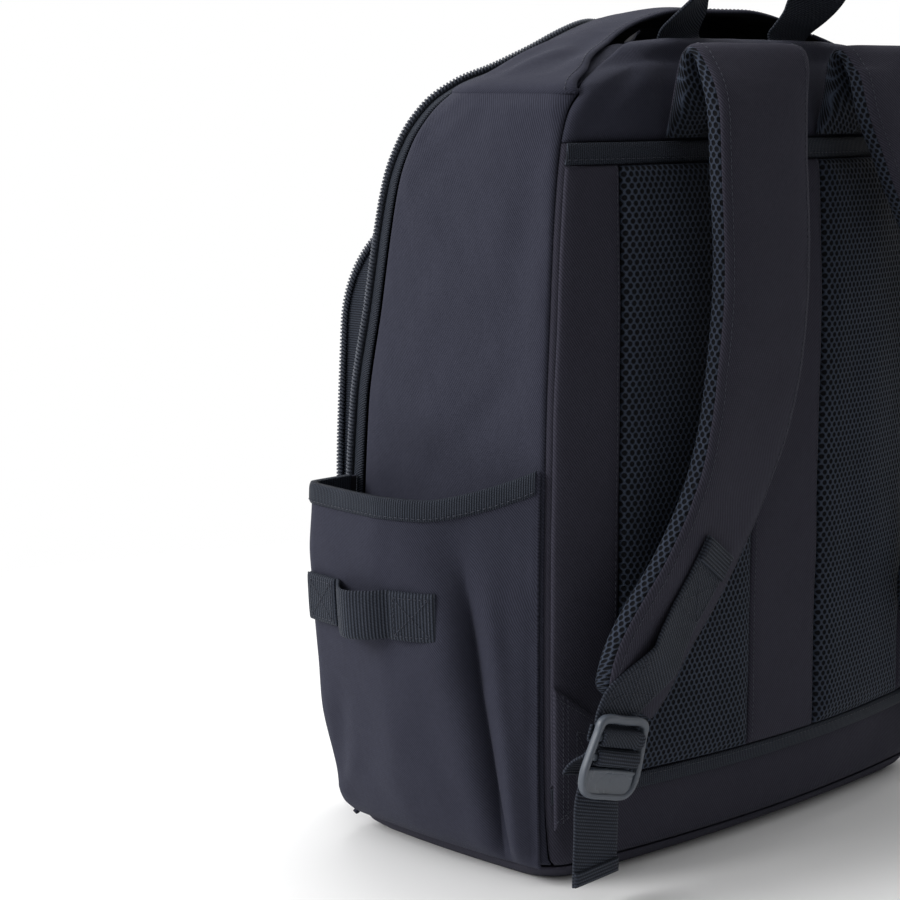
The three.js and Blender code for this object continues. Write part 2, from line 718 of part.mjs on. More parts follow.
const spreadStrap = [
  ...strapFold,
  [0.08, 1.05, 0.105],
  [0.25, 1.07, 0.165],
  [0.47, 1.06, 0.23],
  [0.76, 1.0, 0.32],
  [0.93, 0.94, 0.43],
  [1.04, 0.85, 0.56],
  [1.09, 0.72, 0.68],
  [1.08, 0.58, 0.8],
  [1.05, 0.45, 0.91],
  [1.0, 0.37, 1.0],
];

function strapStations(route, steps) {
  const placed = ([x, y, z]) =>
    new THREE.Vector3(strapX + x * strapSwing, strapRootY + y * strapReach, strapTop - z * strapDrop);
  const curve = new THREE.CatmullRomCurve3(route.map(placed));
  const stations = [];
  const rootShare = 0.12;
  const endShare = 0.93;
  for (let i = 0; i <= steps; i += 1) {
    const t = i / steps;
    const at = curve.getPointAt(t);
    const run = curve.getTangentAt(t);
    const across = new THREE.Vector3(1, 0, 0);
    across.addScaledVector(run, -across.dot(run)).normalize();
    const opening = THREE.MathUtils.smoothstep(t, 0, rootShare);
    const closing = Math.max(0, (t - endShare) / (1 - endShare));
    const wide = THREE.MathUtils.lerp(strapRootWide, strapWide, opening) - (strapWide - strapEndWide) * closing ** 2;
    stations.push({ at, run, across, out: across.clone().cross(run).normalize(), wide, share: t });
  }
  return stations;
}

function strapBody(route, low, high, narrower) {
  const rings = strapStations(route, strapSteps).map(({ at, across, out, wide }) => {
    const w = wide / 2 - narrower;
    const h = high - low;
    const soft = Math.min(h * 0.42, 4);
    const outline = [
      [w, low + soft],
      [w, high - soft],
      [w - soft, high],
      [-w + soft, high],
      [-w, high - soft],
      [-w, low + soft],
      [-w + soft, low],
      [w - soft, low],
    ];
    return outline.map(([a, b]) => at.clone().addScaledVector(across, a).addScaledVector(out, b));
  });
  return loft(rings);
}

function strapPad(route) {
  return strapBody(route, -strapThick / 2, strapThick / 2, 0);
}

function strapLining(route) {
  return strapBody(route, -strapThick / 2 - seamGap * 2.3 - strapMesh, -strapThick / 2 - seamGap * 2.3, 2);
}

// The buckle's own directions: across it, up it and out of its face.
const buckleUp = new THREE.Vector3(Math.sin(buckleSwing), Math.sin(buckleTip), Math.cos(buckleSwing)).normalize();
const buckleAcross = new THREE.Vector3(1, 0, 0).addScaledVector(buckleUp, -buckleUp.x).normalize();
const buckleOut = buckleUp.clone().cross(buckleAcross).normalize();
const onBuckle = (up, out) =>
  buckleAt.clone().addScaledVector(buckleUp, up).addScaledVector(buckleOut, out);

// The buckle's bars and slots from the top down, as heights in its own plane.
const topBarLow = buckleTall / 2 - 4.2;
const firstBar = 9.6;
const secondBar = 0.2;
const plateTop = -6.2;

function buckle() {
  const w = buckleWide / 2;
  const h = buckleTall / 2;
  const outline = new THREE.Shape();
  outline.moveTo(-w + 6, h);
  outline.lineTo(w - 6, h);
  outline.quadraticCurveTo(w - 0.5, h, w - 0.2, h - 8);
  outline.quadraticCurveTo(w + 0.8, 0, w - 2.5, -h + 4);
  outline.quadraticCurveTo(w - 3, -h + 0.5, w - 8, -h + 0.3);
  outline.lineTo(-w + 8, -h + 0.3);
  outline.quadraticCurveTo(-w + 3, -h + 0.5, -w + 2.5, -h + 4);
  outline.quadraticCurveTo(-w - 0.8, 0, -w + 0.2, h - 8);
  outline.quadraticCurveTo(-w + 0.5, h, -w + 6, h);
  const slot = (low, high) => {
    const hole = new THREE.Path();
    const s = slotWide / 2;
    hole.moveTo(-s, low);
    hole.lineTo(s, low);
    hole.lineTo(s, high);
    hole.lineTo(-s, high);
    hole.closePath();
    outline.holes.push(hole);
  };
  slot(firstBar + buckleBar / 2, topBarLow);
  slot(secondBar + buckleBar / 2, firstBar - buckleBar / 2);
  slot(plateTop, secondBar - buckleBar / 2);
  const plate = new THREE.ExtrudeGeometry(outline, {
    depth: buckleThick,
    bevelEnabled: false,
    curveSegments: 4,
  });
  plate.translate(0, 0, -buckleThick / 2);
  plate.applyMatrix4(new THREE.Matrix4().makeBasis(buckleAcross, buckleUp, buckleOut.clone()));
  plate.translate(buckleAt.x, buckleAt.y, buckleAt.z);
  return geometryOf(solidOf(plate));
}

// Webbing that turns over the front of a bar, from a place behind above it to one behind below it.
const clearOfBar = webThick / 2 + seamGap;
function overBar(bar) {
  const up = buckleBar / 2 + clearOfBar;
  const out = buckleThick / 2 + clearOfBar;
  const soft = 1.2;
  return [
    [bar + up, -out],
    [bar + up, out - soft],
    [bar + up - soft, out],
    [bar - up + soft, out],
    [bar - up, out - soft],
    [bar - up, -out],
  ];
}

const webStations = (points, wide = webWide) =>
  points.map((at) => ({ at, across: buckleAcross, wide }));

// The webbing that is sewn down the strap and holds the buckle's first bar.
function strapWebbing(route) {
  const onStrap = strapStations(route, strapSteps).filter((s) => s.share > 0.76 && s.share < 0.94);
  const lift = strapThick / 2 + seamGap + webThick / 2;
  const sewn = onStrap.map((s) => ({
    at: s.at.clone().addScaledVector(s.out, lift + 3 * THREE.MathUtils.smoothstep(s.share, 0.84, 0.94)),
    across: s.across,
    wide: webWide,
  }));
  const behind = -buckleThick / 2 - webThick / 2 - seamGap;
  const down = [onBuckle(topBarLow + 8, behind - 0.6), onBuckle(topBarLow - 1.6, behind)];
  const turn = overBar(firstBar).slice(1).map(([up, out]) => onBuckle(up, out));
  const back = [onBuckle(firstBar - buckleBar / 2 - 1.4, behind - 3), onBuckle(firstBar + 4, behind - 3.6)];
  return ribbon([...sewn, ...webStations([...down, ...turn, ...back])], webThick);
}

// The lower webbing: out of the wing, up behind the buckle, over its second bar and down as a tail.
const wingTipX = () => half - wingReach;
function lowerWebbing() {
  const behind = -buckleThick / 2 - webThick / 2 - seamGap;
  const inwards = buckleAcross.clone().negate();
  const feed = [
    onBuckle(-16, behind - 13).addScaledVector(inwards, 11),
    onBuckle(-10, behind - 11).addScaledVector(inwards, 9),
    onBuckle(-4, behind - 7).addScaledVector(inwards, 4),
    onBuckle(secondBar - 1, behind - 3.2),
  ];
  const turn = overBar(secondBar).map(([up, out]) => onBuckle(up, out));
  const tail = [
    onBuckle(plateTop + 0.6, behind),
    onBuckle(plateTop - 6, behind - 0.4),
    onBuckle(-buckleTall / 2, behind - 0.4),
  ];
  const foot = onBuckle(-buckleTall / 2, behind - 0.4);
  const hang = [0.35, 0.7, 1].map(
    (share) => new THREE.Vector3(foot.x - 2 * share, foot.y - 3 * share, foot.z - tailLong * share),
  );
  return ribbon(webStations([...feed, ...turn, ...tail, ...hang]), webThick);
}

// The three-cornered wing that anchors the lower webbing at the back seam.
function wing() {
  const point = (u, v) => {
    const lowZ = THREE.MathUtils.lerp(wingLow, (wingLow + wingHigh) / 2 - webWide * 0.55, u);
    const highZ = THREE.MathUtils.lerp(wingHigh, (wingLow + wingHigh) / 2 + webWide * 0.55, u);
    const z = THREE.MathUtils.lerp(lowZ, highZ, v);
    const x = THREE.MathUtils.lerp(seamX(z), wingTipX(), u);
    return new THREE.Vector3(x, backFace(x, z), z);
  };
  const low = (u) => seamGap * 3 + THREE.MathUtils.lerp(2.2, stripPad, Math.min(1, u * 2));
  return wall(point, evenly(4), evenly(5), low, (u) => low(u) + 2 + u);
}

// The carry handle: sewn inside the yoke's edge at both ends, a loop that leans back and turns a
// quarter on its way over.
function handle() {
  const off = cloth + seamGap * 2 + webThick / 2;
  const seat = (z) => backFace(handleX, z) - off * 2.1;
  const top = mouthHigh;
  const sewn = evenly(2).map((share) => {
    const z = top - handleTack * (1 - share);
    return { at: [handleX, seat(z), z], turn: 0 };
  });
  const reach = (share) => seat(top) + handleLean * share;
  const side = [
    ...sewn,
    { at: [handleX * 1.023, reach(0.04), top + handleRise * 0.07], turn: 0.04 },
    { at: [handleX * 1.07, reach(0.3), top + handleRise * 0.24], turn: 0.2 },
    { at: [handleX * 1.07, reach(0.58), top + handleRise * 0.48], turn: 0.5 },
    { at: [handleX * 0.953, reach(0.8), top + handleRise * 0.74], turn: 0.8 },
    { at: [handleX * 0.605, reach(0.94), top + handleRise * 0.94], turn: 0.96 },
    { at: [handleX * 0.217, reach(1), top + handleRise], turn: 1 },
  ];
  const station = ({ at, turn }, sign) => {
    const angle = (Math.PI / 2) * turn;
    const across = new THREE.Vector3(Math.cos(angle), sign * Math.sin(angle), 0);
    return { at: new THREE.Vector3(sign * at[0], at[1], at[2]), across, wide: webWide };
  };
  const right = side.map((s) => station(s, 1));
  const left = side.map((s) => station(s, -1)).reverse();
  left.forEach((s) => s.across.negate());
  const stations = [...right, ...left];
  stations.forEach((s, i) => {
    const before = stations[Math.max(i - 1, 0)];
    const after = stations[Math.min(i + 1, stations.length - 1)];
    const run = after.at.clone().sub(before.at).normalize();
    s.across.addScaledVector(run, -s.across.dot(run)).normalize();
    if (i > 0 && s.across.dot(before.across) < 0) s.across.negate();
  });
  return ribbon(stations, webThick);
}

// The cloths and plastics.
const finish = (colour, roughness) => new THREE.MeshStandardMaterial({ color: colour, roughness, metalness: 0 });
const twill = finish(0x2b2c3a, 0.85);
const mesh = finish(0x1b2430, 0.9);
const webbing = finish(0x1d2731, 0.8);
const coilPlastic = finish(0x39455a, 0.5);
const bucklePlastic = finish(0x3b4350, 0.45);

const bag = new THREE.Group();

function add(name, geometry, material) {
  const piece = new THREE.Mesh(geometryOf(solidOf(geometry)), material);
  piece.name = name;
  bag.add(piece);
}

function addPair(name, geometry, material) {
  add(`${name}_right`, geometry, material);
  add(`${name}_left`, mirrored(geometry), material);
}

add("base_panel", geometryOf(wholeShell.intersect(slab(-1, baseRise))), twill);
add("back_panel", backPanel(), twill);
add("yoke", yoke(), twill);
add("top_band", topBand(), twill);
add("front_panel", geometryOf(wholeShell.intersect(aheadOfZip).intersect(aboveBase)), twill);
add("main_zip_tape", geometryOf(wholeShell.intersect(zipStrip).intersect(aboveBase)), webbing);
add("main_zip_coil", mainZip(), coilPlastic);
addPair("side_panel", sidePanel(), twill);
addPair("side_pocket", sidePocket(), twill);
addPair("pocket_binding", pocketBinding(), webbing);
add("tool_loop", toolLoop(), webbing);
add("front_pocket", frontPocket(), twill);
addPair("mesh_panel", meshPanel(), mesh);
add("spine_strip", spineStrip(), twill);
addPair("edge_strip", edgeStrip(), twill);
add("upper_tape", backTape(yokeSeamZ - bandWide, yokeSeamZ), webbing);
add("lower_tape", backTape(lowBandTop - lowBandWide, lowBandTop), webbing);
add("shoulder_strap_right", strapPad(hangingStrap), twill);
add("shoulder_strap_left", mirrored(strapPad(spreadStrap)), twill);
add("strap_lining_right", strapLining(hangingStrap), mesh);
add("strap_lining_left", mirrored(strapLining(spreadStrap)), mesh);
add("strap_webbing_right", strapWebbing(hangingStrap), webbing);
add("strap_webbing_left", mirrored(strapWebbing(spreadStrap)), webbing);
addPair("strap_buckle", buckle(), bucklePlastic);
addPair("lower_webbing", lowerWebbing(), webbing);
addPair("strap_wing", wing(), twill);
add("carry_handle", handle(), webbing);

export default bag;
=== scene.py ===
import json

import bpy
import numpy as np
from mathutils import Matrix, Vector

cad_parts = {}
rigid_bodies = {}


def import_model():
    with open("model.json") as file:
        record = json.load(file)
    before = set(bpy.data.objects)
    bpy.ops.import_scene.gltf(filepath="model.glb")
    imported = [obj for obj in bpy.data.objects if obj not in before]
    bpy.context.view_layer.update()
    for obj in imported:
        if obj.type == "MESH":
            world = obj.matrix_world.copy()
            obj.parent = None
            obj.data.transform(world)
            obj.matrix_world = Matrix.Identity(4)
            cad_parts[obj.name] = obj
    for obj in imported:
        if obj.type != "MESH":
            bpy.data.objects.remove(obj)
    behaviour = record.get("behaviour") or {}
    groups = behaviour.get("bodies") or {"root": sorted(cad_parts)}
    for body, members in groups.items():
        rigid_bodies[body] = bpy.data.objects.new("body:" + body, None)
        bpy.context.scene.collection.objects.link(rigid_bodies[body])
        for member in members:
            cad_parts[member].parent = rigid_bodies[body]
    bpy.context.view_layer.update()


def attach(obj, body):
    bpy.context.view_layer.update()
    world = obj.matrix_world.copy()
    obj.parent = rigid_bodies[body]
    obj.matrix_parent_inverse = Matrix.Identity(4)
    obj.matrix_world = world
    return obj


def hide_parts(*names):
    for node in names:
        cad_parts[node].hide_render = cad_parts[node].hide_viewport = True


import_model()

# %% [markdown]
# ## Tables that bend smoothly
# The bag's outline is known at a few heights only. A monotone cubic through those heights gives a
# smooth cloth without the overshoot that an ordinary spline makes where a column levels off.
# %% A smooth curve through a table
mm = 0.001


def smooth(x, at, value):
    """A cubic through the points (at, value), whose slope at each is the harmonic mean of the two
    slopes beside it, or zero where they differ in sign, so it never overshoots."""
    x, at, value = np.asarray(x, float), np.asarray(at, float), np.asarray(value, float)
    step = np.diff(at)
    rise = np.diff(value) / step
    inner = np.where(rise[1:] * rise[:-1] > 0, 2 * rise[1:] * rise[:-1] / (rise[1:] + rise[:-1] + 1e-30), 0)
    slope = np.concatenate([[rise[0]], inner, [rise[-1]]])
    i = np.clip(np.searchsorted(at, x) - 1, 0, len(at) - 2)
    h, s = step[i], np.clip((x - at[i]) / step[i], 0, 1)
    a = (1 + 2 * s) * (1 - s) ** 2 * value[i] + s * (1 - s) ** 2 * h * slope[i]
    return a + s * s * (3 - 2 * s) * value[i + 1] + s * s * (s - 1) * h * slope[i + 1]


def ease(x, low, high):
    """0 up to low, 1 from high, and the cubic 3t2 - 2t3 between them."""
    t = np.clip((np.asarray(x, float) - low) / (high - low), 0, 1)
    return t * t * (3 - 2 * t)


def mix(a, b, t):
    """a at t 0, b at t 1, and a straight share of both between."""
    return a + (b - a) * t


# %% [markdown]
# ## The bag's main form
# Each row gives the level ring of the stuffed bag: its half width, how far its back and front lie
# from the back seam, where the zip runs, how round its corners are and how much the back swells.
# %% The level rings, in millimetres
body_high, half_wide, deep, seam_y = 425.0, 153.0, 144.0, 72.0
back_swell, side_swell, lid_reach = 18.0, 3.0, 1.5
ring_rows = np.array([
    # up, wide, back, front, zip, back round, front round, swell
    (0, 0.93, 0.05, 0.985, 0.95, 0.12, 0.16, 0.4),
    (0.012, 0.972, 0.016, 1.0, 0.98, 0.1, 0.13, 0.6),
    (0.033, 0.996, 0, 1.0, 0.997, 0.07, 0.1, 0.78),
    (0.14, 1.007, 0, 1.0, 0.995, 0.04, 0.09, 1),
    (0.35, 1.013, 0, 0.985, 0.975, 0.035, 0.09, 1),
    (0.528, 1.007, 0, 0.955, 0.951, 0.035, 0.09, 1),
    (0.65, 0.993, 0, 0.9, 0.896, 0.035, 0.1, 1),
    (0.734, 0.982, 0, 0.868, 0.862, 0.035, 0.11, 0.92),
    (0.794, 0.97, 0, 0.84, 0.834, 0.04, 0.12, 0.8),
    (0.84, 0.955, 0, 0.8, 0.79, 0.05, 0.15, 0.68),
    (0.875, 0.935, 0, 0.75, 0.73, 0.07, 0.2, 0.56),
    (0.903, 0.888, 0.004, 0.685, 0.667, 0.1, 0.25, 0.42),
    (0.925, 0.775, 0.018, 0.62, 0.613, 0.14, 0.29, 0.26),
    (0.944, 0.66, 0.045, 0.575, 0.575, 0.17, 0.31, 0.14),
    (0.96, 0.56, 0.078, 0.547, 0.553, 0.19, 0.3, 0.05),
    (0.974, 0.455, 0.118, 0.523, 0.54, 0.2, 0.28, 0),
    (0.986, 0.34, 0.172, 0.495, 0.528, 0.2, 0.22, 0),
    (0.994, 0.235, 0.23, 0.465, 0.515, 0.15, 0.15, 0),
    (1.0, 0.12, 0.3, 0.42, 0.505, 0.07, 0.07, 0),
    (1.0035, 0.0, 0.355, 0.365, 0.5, 0.0, 0.0, 0),
])
heights = np.linspace(0, ring_rows[-1, 0] * body_high, 2400)
columns = {
    name: smooth(heights / body_high, ring_rows[:, 0], ring_rows[:, k + 1])
    for k, name in enumerate(("wide", "back", "front", "zip", "back_round", "front_round", "swell"))
}


def level(name, z):
    """A column of the ring table at height z."""
    return np.interp(z, heights, columns[name])


def wide_at(z):
    return level("wide", z) * half_wide


def back_at(z):
    return seam_y - level("back", z) * deep


def front_at(z):
    return seam_y - level("front", z) * deep - lid_reach


def zip_at(z):
    return seam_y - level("zip", z) * deep


def back_face(x, z):
    """The back's outside: its seam line plus the swell, which is full in the middle and falls with
    the square of the distance across."""
    across = np.minimum(np.abs(x) / np.maximum(wide_at(z), 1), 1)
    return back_at(z) + level("swell", z) * back_swell * (1 - across**2)


def side_face(y, z):
    """The side's outside: half the width plus a low arch of side_swell between front and back."""
    along = np.clip((y - front_at(z)) / (back_at(z) - front_at(z)), 0, 1)
    return wide_at(z) + side_swell * np.sin(np.pi * along)


print("the body is", 2 * half_wide, "by", deep, "by", body_high, "mm")

# %% [markdown]
# ## Laying cloth on the form
# A zip or band that turns over the bag's top has no simple formula of its own. It is easier to draw
# it roughly and let it fall onto the form. The form is written as a distance that is zero on the
# cloth, and each point is moved along the steepest way until that distance is what is wanted.
# %% Distance from the form
def off_form(p):
    """How far points lie outside the form: the distance to the rounded rectangle of their own
    level, whose corner radius is that of the front or the back, with both swells taken off first."""
    x, y, z = np.abs(p[..., 0]), p[..., 1], np.clip(p[..., 2], 0, heights[-1])
    wide, back, front = wide_at(z), back_at(z), front_at(z)
    across = np.minimum(x / np.maximum(wide, 1), 1)
    behind = ease(y, front + (back - front) * 0.5, back)
    y = y - level("swell", z) * back_swell * (1 - across**2) * behind
    along = np.clip((y - front) / np.maximum(back - front, 1), 0, 1)
    x = x - side_swell * np.sin(np.pi * along) * ease(z, 430, 380)
    round_ = np.where(y > (back + front) / 2, level("back_round", z), level("front_round", z)) * half_wide
    round_ = np.minimum(round_, (back - front) * 0.45)
    qx = x - wide + round_
    qy = np.abs(y - (back + front) / 2) - (back - front) / 2 + round_
    outer = np.hypot(np.maximum(qx, 0), np.maximum(qy, 0))
    return outer + np.minimum(np.maximum(qx, qy), 0) - round_


def form_slope(p, step=0.4):
    """The gradient of off_form, from differences over two steps along each axis."""
    d = np.eye(3) * step
    return np.stack([(off_form(p + d[k]) - off_form(p - d[k])) / (2 * step) for k in range(3)], -1)


def onto_form(p, lift=0.0, rounds=7):
    """Moves points along the gradient until off_form over its steepness equals lift."""
    p = np.array(p, float)
    for _ in range(rounds):
        g = form_slope(p)
        steep = np.linalg.norm(g, axis=-1)
        far = off_form(p) / np.maximum(steep, 1e-6) - lift
        p -= np.clip(far, -6, 6)[..., None] * g / np.maximum(steep, 1e-6)[..., None]
    return p


def form_normal(p):
    g = form_slope(p)
    return g / np.maximum(np.linalg.norm(g, axis=-1, keepdims=True), 1e-9)


# %% [markdown]
# ## From arrays to meshes
# A piece of cloth is two grids, its outside and its inside, joined round the rim by one rounded row.
# Its UV map, called lay, holds millimetres along the cloth, so that a weave keeps its real size.
# %% Grids, rims and meshes
def unit(v):
    return v / np.maximum(np.linalg.norm(v, axis=-1, keepdims=True), 1e-12)


def grid_normal(p):
    """The cross product of a grid's steps along its columns and along its rows."""
    return unit(np.cross(np.gradient(p, axis=1), np.gradient(p, axis=0)))


def lengths(p, axis):
    """Millimetres run along one axis of a grid, centred on the grid's middle line."""
    step = np.linalg.norm(np.diff(p, axis=axis), axis=-1)
    run = np.concatenate([np.zeros_like(step.take([0], axis)), np.cumsum(step, axis)], axis)
    return run - run.take([run.shape[axis] // 2], axis)


def quads(rows, cols, close_u=False, close_v=False, start=0):
    """The four corners of each cell of a grid, wrapped round where an axis is closed."""
    i = np.arange(rows if close_v else rows - 1)[:, None]
    j = np.arange(cols if close_u else cols - 1)[None, :]
    i2, j2 = (i + 1) % rows, (j + 1) % cols
    cells = [i * cols + j, i * cols + j2, i2 * cols + j2, i2 * cols + j]
    return np.stack(np.broadcast_arrays(*cells), -1).reshape(-1, 4) + start


cut_sizes = {}


def make_mesh(name, points, faces, lay=None, inside=None):
    """Puts points in millimetres, faces and UVs into a mesh object and shades it smooth. inside
    holds 1 for the faces that take the second material."""
    mesh = bpy.data.meshes.new(name)
    faces = np.asarray(faces, np.int32)
    mesh.vertices.add(len(points))
    mesh.vertices.foreach_set("co", (np.asarray(points, float) * mm).astype(np.float32).ravel())
    mesh.loops.add(faces.size)
    mesh.loops.foreach_set("vertex_index", faces.ravel())
    mesh.polygons.add(len(faces))
    mesh.polygons.foreach_set("loop_start", np.arange(0, faces.size, faces.shape[1], dtype=np.int32))
    mesh.update(calc_edges=True)
    mesh.polygons.foreach_set("use_smooth", np.ones(len(faces), bool))
    if lay is not None:
        mesh.uv_layers.new(name="lay").data.foreach_set("uv",
            np.asarray(lay, np.float32)[faces.ravel()].ravel())
    if inside is not None:
        mesh.polygons.foreach_set("material_index", np.asarray(inside, np.int32))
    mesh.validate()
    piece = bpy.data.objects.new(name, mesh)
    bpy.context.scene.collection.objects.link(piece)
    return piece


def rim_of(rows, cols):
    """The indices round a grid's border, anticlockwise, each once."""
    low = np.arange(cols)
    right = np.arange(1, rows) * cols + cols - 1
    high = np.arange(cols - 2, -1, -1) + (rows - 1) * cols
    left = np.arange(rows - 2, 0, -1) * cols
    return np.concatenate([low, right, high, left])


def cloth(name, p, thick=2.4, puff=0.0, puff_wide=6.0, lay=None):
    """A closed piece of cloth over the grid p: the outside is p, the inside lies thick below it, and
    a middle row outside the rim rounds the edge. puff lets the outside sink towards its rim, by a
    quarter circle over puff_wide millimetres, as a seam pulls cloth in."""
    rows, cols = p.shape[:2]
    u, v = lengths(p, 1), lengths(p, 0)
    if lay is None:
        lay = np.stack([u, v], -1)
    n = grid_normal(p)
    edge_u = np.minimum(u - u[:, :1], u[:, -1:] - u)
    edge_v = np.minimum(v - v[:1], v[-1:] - v)
    near = np.clip(np.minimum(edge_u, edge_v) / puff_wide, 0, 1)
    sink = puff * (1 - np.sqrt(np.maximum(1 - (1 - near) ** 2, 0)))
    outer = p - n * sink[..., None]
    inner = p - n * (thick + np.zeros(sink.shape))[..., None]
    cell = np.cross(p[1:, 1:] - p[:-1, :-1], p[1:, :-1] - p[:-1, 1:])
    flat_size = (np.ptp(u, axis=1).max() * mm, np.ptp(v, axis=0).max() * mm)
    cut_sizes[name] = (*flat_size, np.linalg.norm(cell, axis=-1).sum() / 2 * mm**2)
    rim = rim_of(rows, cols)
    ring_out, ring_in = outer.reshape(-1, 3)[rim], inner.reshape(-1, 3)[rim]
    toward = unit(np.roll(ring_out, -1, 0) - np.roll(ring_out, 1, 0))
    away = unit(np.cross(toward, n.reshape(-1, 3)[rim]))
    middle = (ring_out + ring_in) / 2 + away * np.linalg.norm(ring_out - ring_in, axis=-1,
        keepdims=True) * 0.22
    count = rows * cols
    points = np.concatenate([outer.reshape(-1, 3), inner.reshape(-1, 3), middle])
    after = np.roll(np.arange(len(rim)), -1)
    mid = 2 * count + np.arange(len(rim))
    front = quads(rows, cols)
    back = quads(rows, cols, start=count)[:, ::-1]
    edge_a = np.stack([rim, mid, mid[after], rim[after]], -1)
    edge_b = np.stack([mid, rim + count, rim[after] + count, mid[after]], -1)
    flat = lay.reshape(-1, 2)
    faces = np.concatenate([front, edge_a, edge_b, back])
    inside = np.concatenate([np.zeros(len(faces) - len(back)), np.ones(len(back))])
    return make_mesh(name, points, faces, np.concatenate([flat, flat, flat[rim]]), inside=inside)


def tube(name, ring, lay=None, closed_path=False, inside_from=None):
    """A closed skin through a stack of rings, rows x cols x 3. Unless the stack itself is closed, a
    point in the middle of the first and of the last ring closes its ends. The rows from inside_from
    on take the second material."""
    rows, cols = ring.shape[:2]
    faces = quads(rows, cols, close_u=True, close_v=closed_path)
    inside = None if inside_from is None else (np.arange(len(faces)) // cols >= inside_from) * 1
    points = ring.reshape(-1, 3)
    if lay is None:
        step = np.linalg.norm(ring - np.roll(ring, 1, 1), axis=-1)
        step[:, 0] = 0
        lay = np.stack([step.cumsum(1), lengths(ring, 0)], -1)
    flat = lay.reshape(-1, 2)
    if closed_path:
        return make_mesh(name, points, faces, flat, inside)
    points = np.concatenate([points, [ring[0].mean(0), ring[-1].mean(0)]])
    flat = np.concatenate([flat, [lay[0].mean(0), lay[-1].mean(0)]])
    j, last = np.arange(cols), (rows - 1) * cols
    j2 = (j + 1) % cols
    caps = [np.stack([j2, j, j * 0 + rows * cols], -1),
        np.stack([last + j, last + j2, j * 0 + rows * cols + 1], -1)]
    if inside is not None:
        inside = np.concatenate([inside, inside, np.zeros(cols), np.ones(cols)])
    return make_mesh(name, points, np.concatenate([faces[:, [0, 1, 2]], faces[:, [0, 2, 3]], *caps]),
        flat, inside)


def finish_piece(piece, node, materials, body="root"):
    """Gives a piece its materials, lets it ride on the bag and stand for its plain solid."""
    for material in materials:
        piece.data.materials.append(material)
    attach(piece, body)
    for name in [node] if isinstance(node, str) else node or []:
        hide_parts(name)
    return piece


print("helpers for cloth are ready")

# %% [markdown]
# ## Shader maths that reads like maths
# A weave is a few sines of the cloth's own millimetres. Wiring those by hand hides the formula, so
# one small class wraps a socket and lets an ordinary expression add the Math nodes.
# %% Sockets as numbers
class Term:
    """A number that varies over a surface. Each operator adds one Math node to its tree."""

    def __init__(self, tree, socket):
        self.tree, self.socket = tree, socket

    def do(self, operation, *others):
        node = self.tree.nodes.new("ShaderNodeMath")
        node.operation = operation
        for slot, value in zip(node.inputs, (self, *others)):
            if isinstance(value, Term):
                self.tree.links.new(value.socket, slot)
            else:
                slot.default_value = float(value)
        return Term(self.tree, node.outputs[0])

    def __add__(self, other):
        return self.do("ADD", other)

    def __sub__(self, other):
        return self.do("SUBTRACT", other)

    def __mul__(self, other):
        return self.do("MULTIPLY", other)

    def __truediv__(self, other):
        return self.do("DIVIDE", other)

    def __rsub__(self, other):
        return (self * -1) + other

    def __neg__(self):
        return self * -1

    __radd__ = __add__
    __rmul__ = __mul__

    def wave(self, pitch):
        """A sine between 0 and 1 that repeats every pitch."""
        return (self * (2 * np.pi / pitch)).do("SINE") * 0.5 + 0.5

    def cell(self, pitch):
        """The distance from the middle of a cell of that pitch, from minus to plus half a pitch."""
        return (self / pitch + 0.5).do("FRACT") * pitch - pitch / 2

    def rise(self, low, high):
        """0 below low and 1 above high, smooth between."""
        return self.do("SUBTRACT", low).do("DIVIDE", high - low).do("SMOOTH_MIN", 1,
            0.1).do("SMOOTH_MAX", 0, 0.1)


class Finish:
    """One procedural material. node() makes any node: its settings are set before its sockets."""

    def __init__(self, name, **sockets):
        self.material = bpy.data.materials.new(name)
        self.material.use_nodes = True
        self.tree = self.material.node_tree
        self.shader = self.tree.nodes["Principled BSDF"]
        self.set(self.shader, sockets)

    def set(self, node, sockets):
        for key, value in sockets.items():
            slot = node.inputs[key if isinstance(key, int) else key.replace("_", " ")]
            if isinstance(value, Term):
                self.tree.links.new(value.socket, slot)
            elif hasattr(value, "is_output"):
                self.tree.links.new(value, slot)
            else:
                slot.default_value = value

    def node(self, kind, settings=None, sockets=None, out=0):
        node = self.tree.nodes.new(kind)
        for key, value in (settings or {}).items():
            setattr(node, key, value)
        self.set(node, sockets or {})
        return node.outputs[out]

    def lay(self):
        """The cloth's own two directions, in millimetres."""
        uv = self.node("ShaderNodeUVMap", {"uv_map": "lay"})
        split = self.tree.nodes.new("ShaderNodeSeparateXYZ")
        self.tree.links.new(uv, split.inputs[0])
        return Term(self.tree, split.outputs[0]), Term(self.tree, split.outputs[1])

    def noise(self, scale, detail=2.0, rough=0.5):
        """Soft noise on the object's own metres, between 0 and 1."""
        place = self.node("ShaderNodeTexCoord", out=3)
        sockets = {"Vector": place, "Scale": scale, "Detail": detail, "Roughness": rough}
        return Term(self.tree, self.node("ShaderNodeTexNoise", {}, sockets))

    def colours(self, share, low, high):
        """A colour between two, by a Term."""
        return self.blend(share, (*low, 1), (*high, 1))

    def blend(self, share, low, high):
        """A colour between two colours or sockets, by a Term."""
        return self.node("ShaderNodeMix", {"data_type": "RGBA"}, {0: share, 6: low, 7: high}, out=2)

    def bump(self, height, far, strength=1.0, under=None):
        """A Bump node for a height of 0 to 1 that stands for far metres."""
        sockets = {"Height": height, "Distance": far, "Strength": strength}
        if under is not None:
            sockets["Normal"] = under
        return self.node("ShaderNodeBump", {}, sockets)


print("shader helpers are ready")

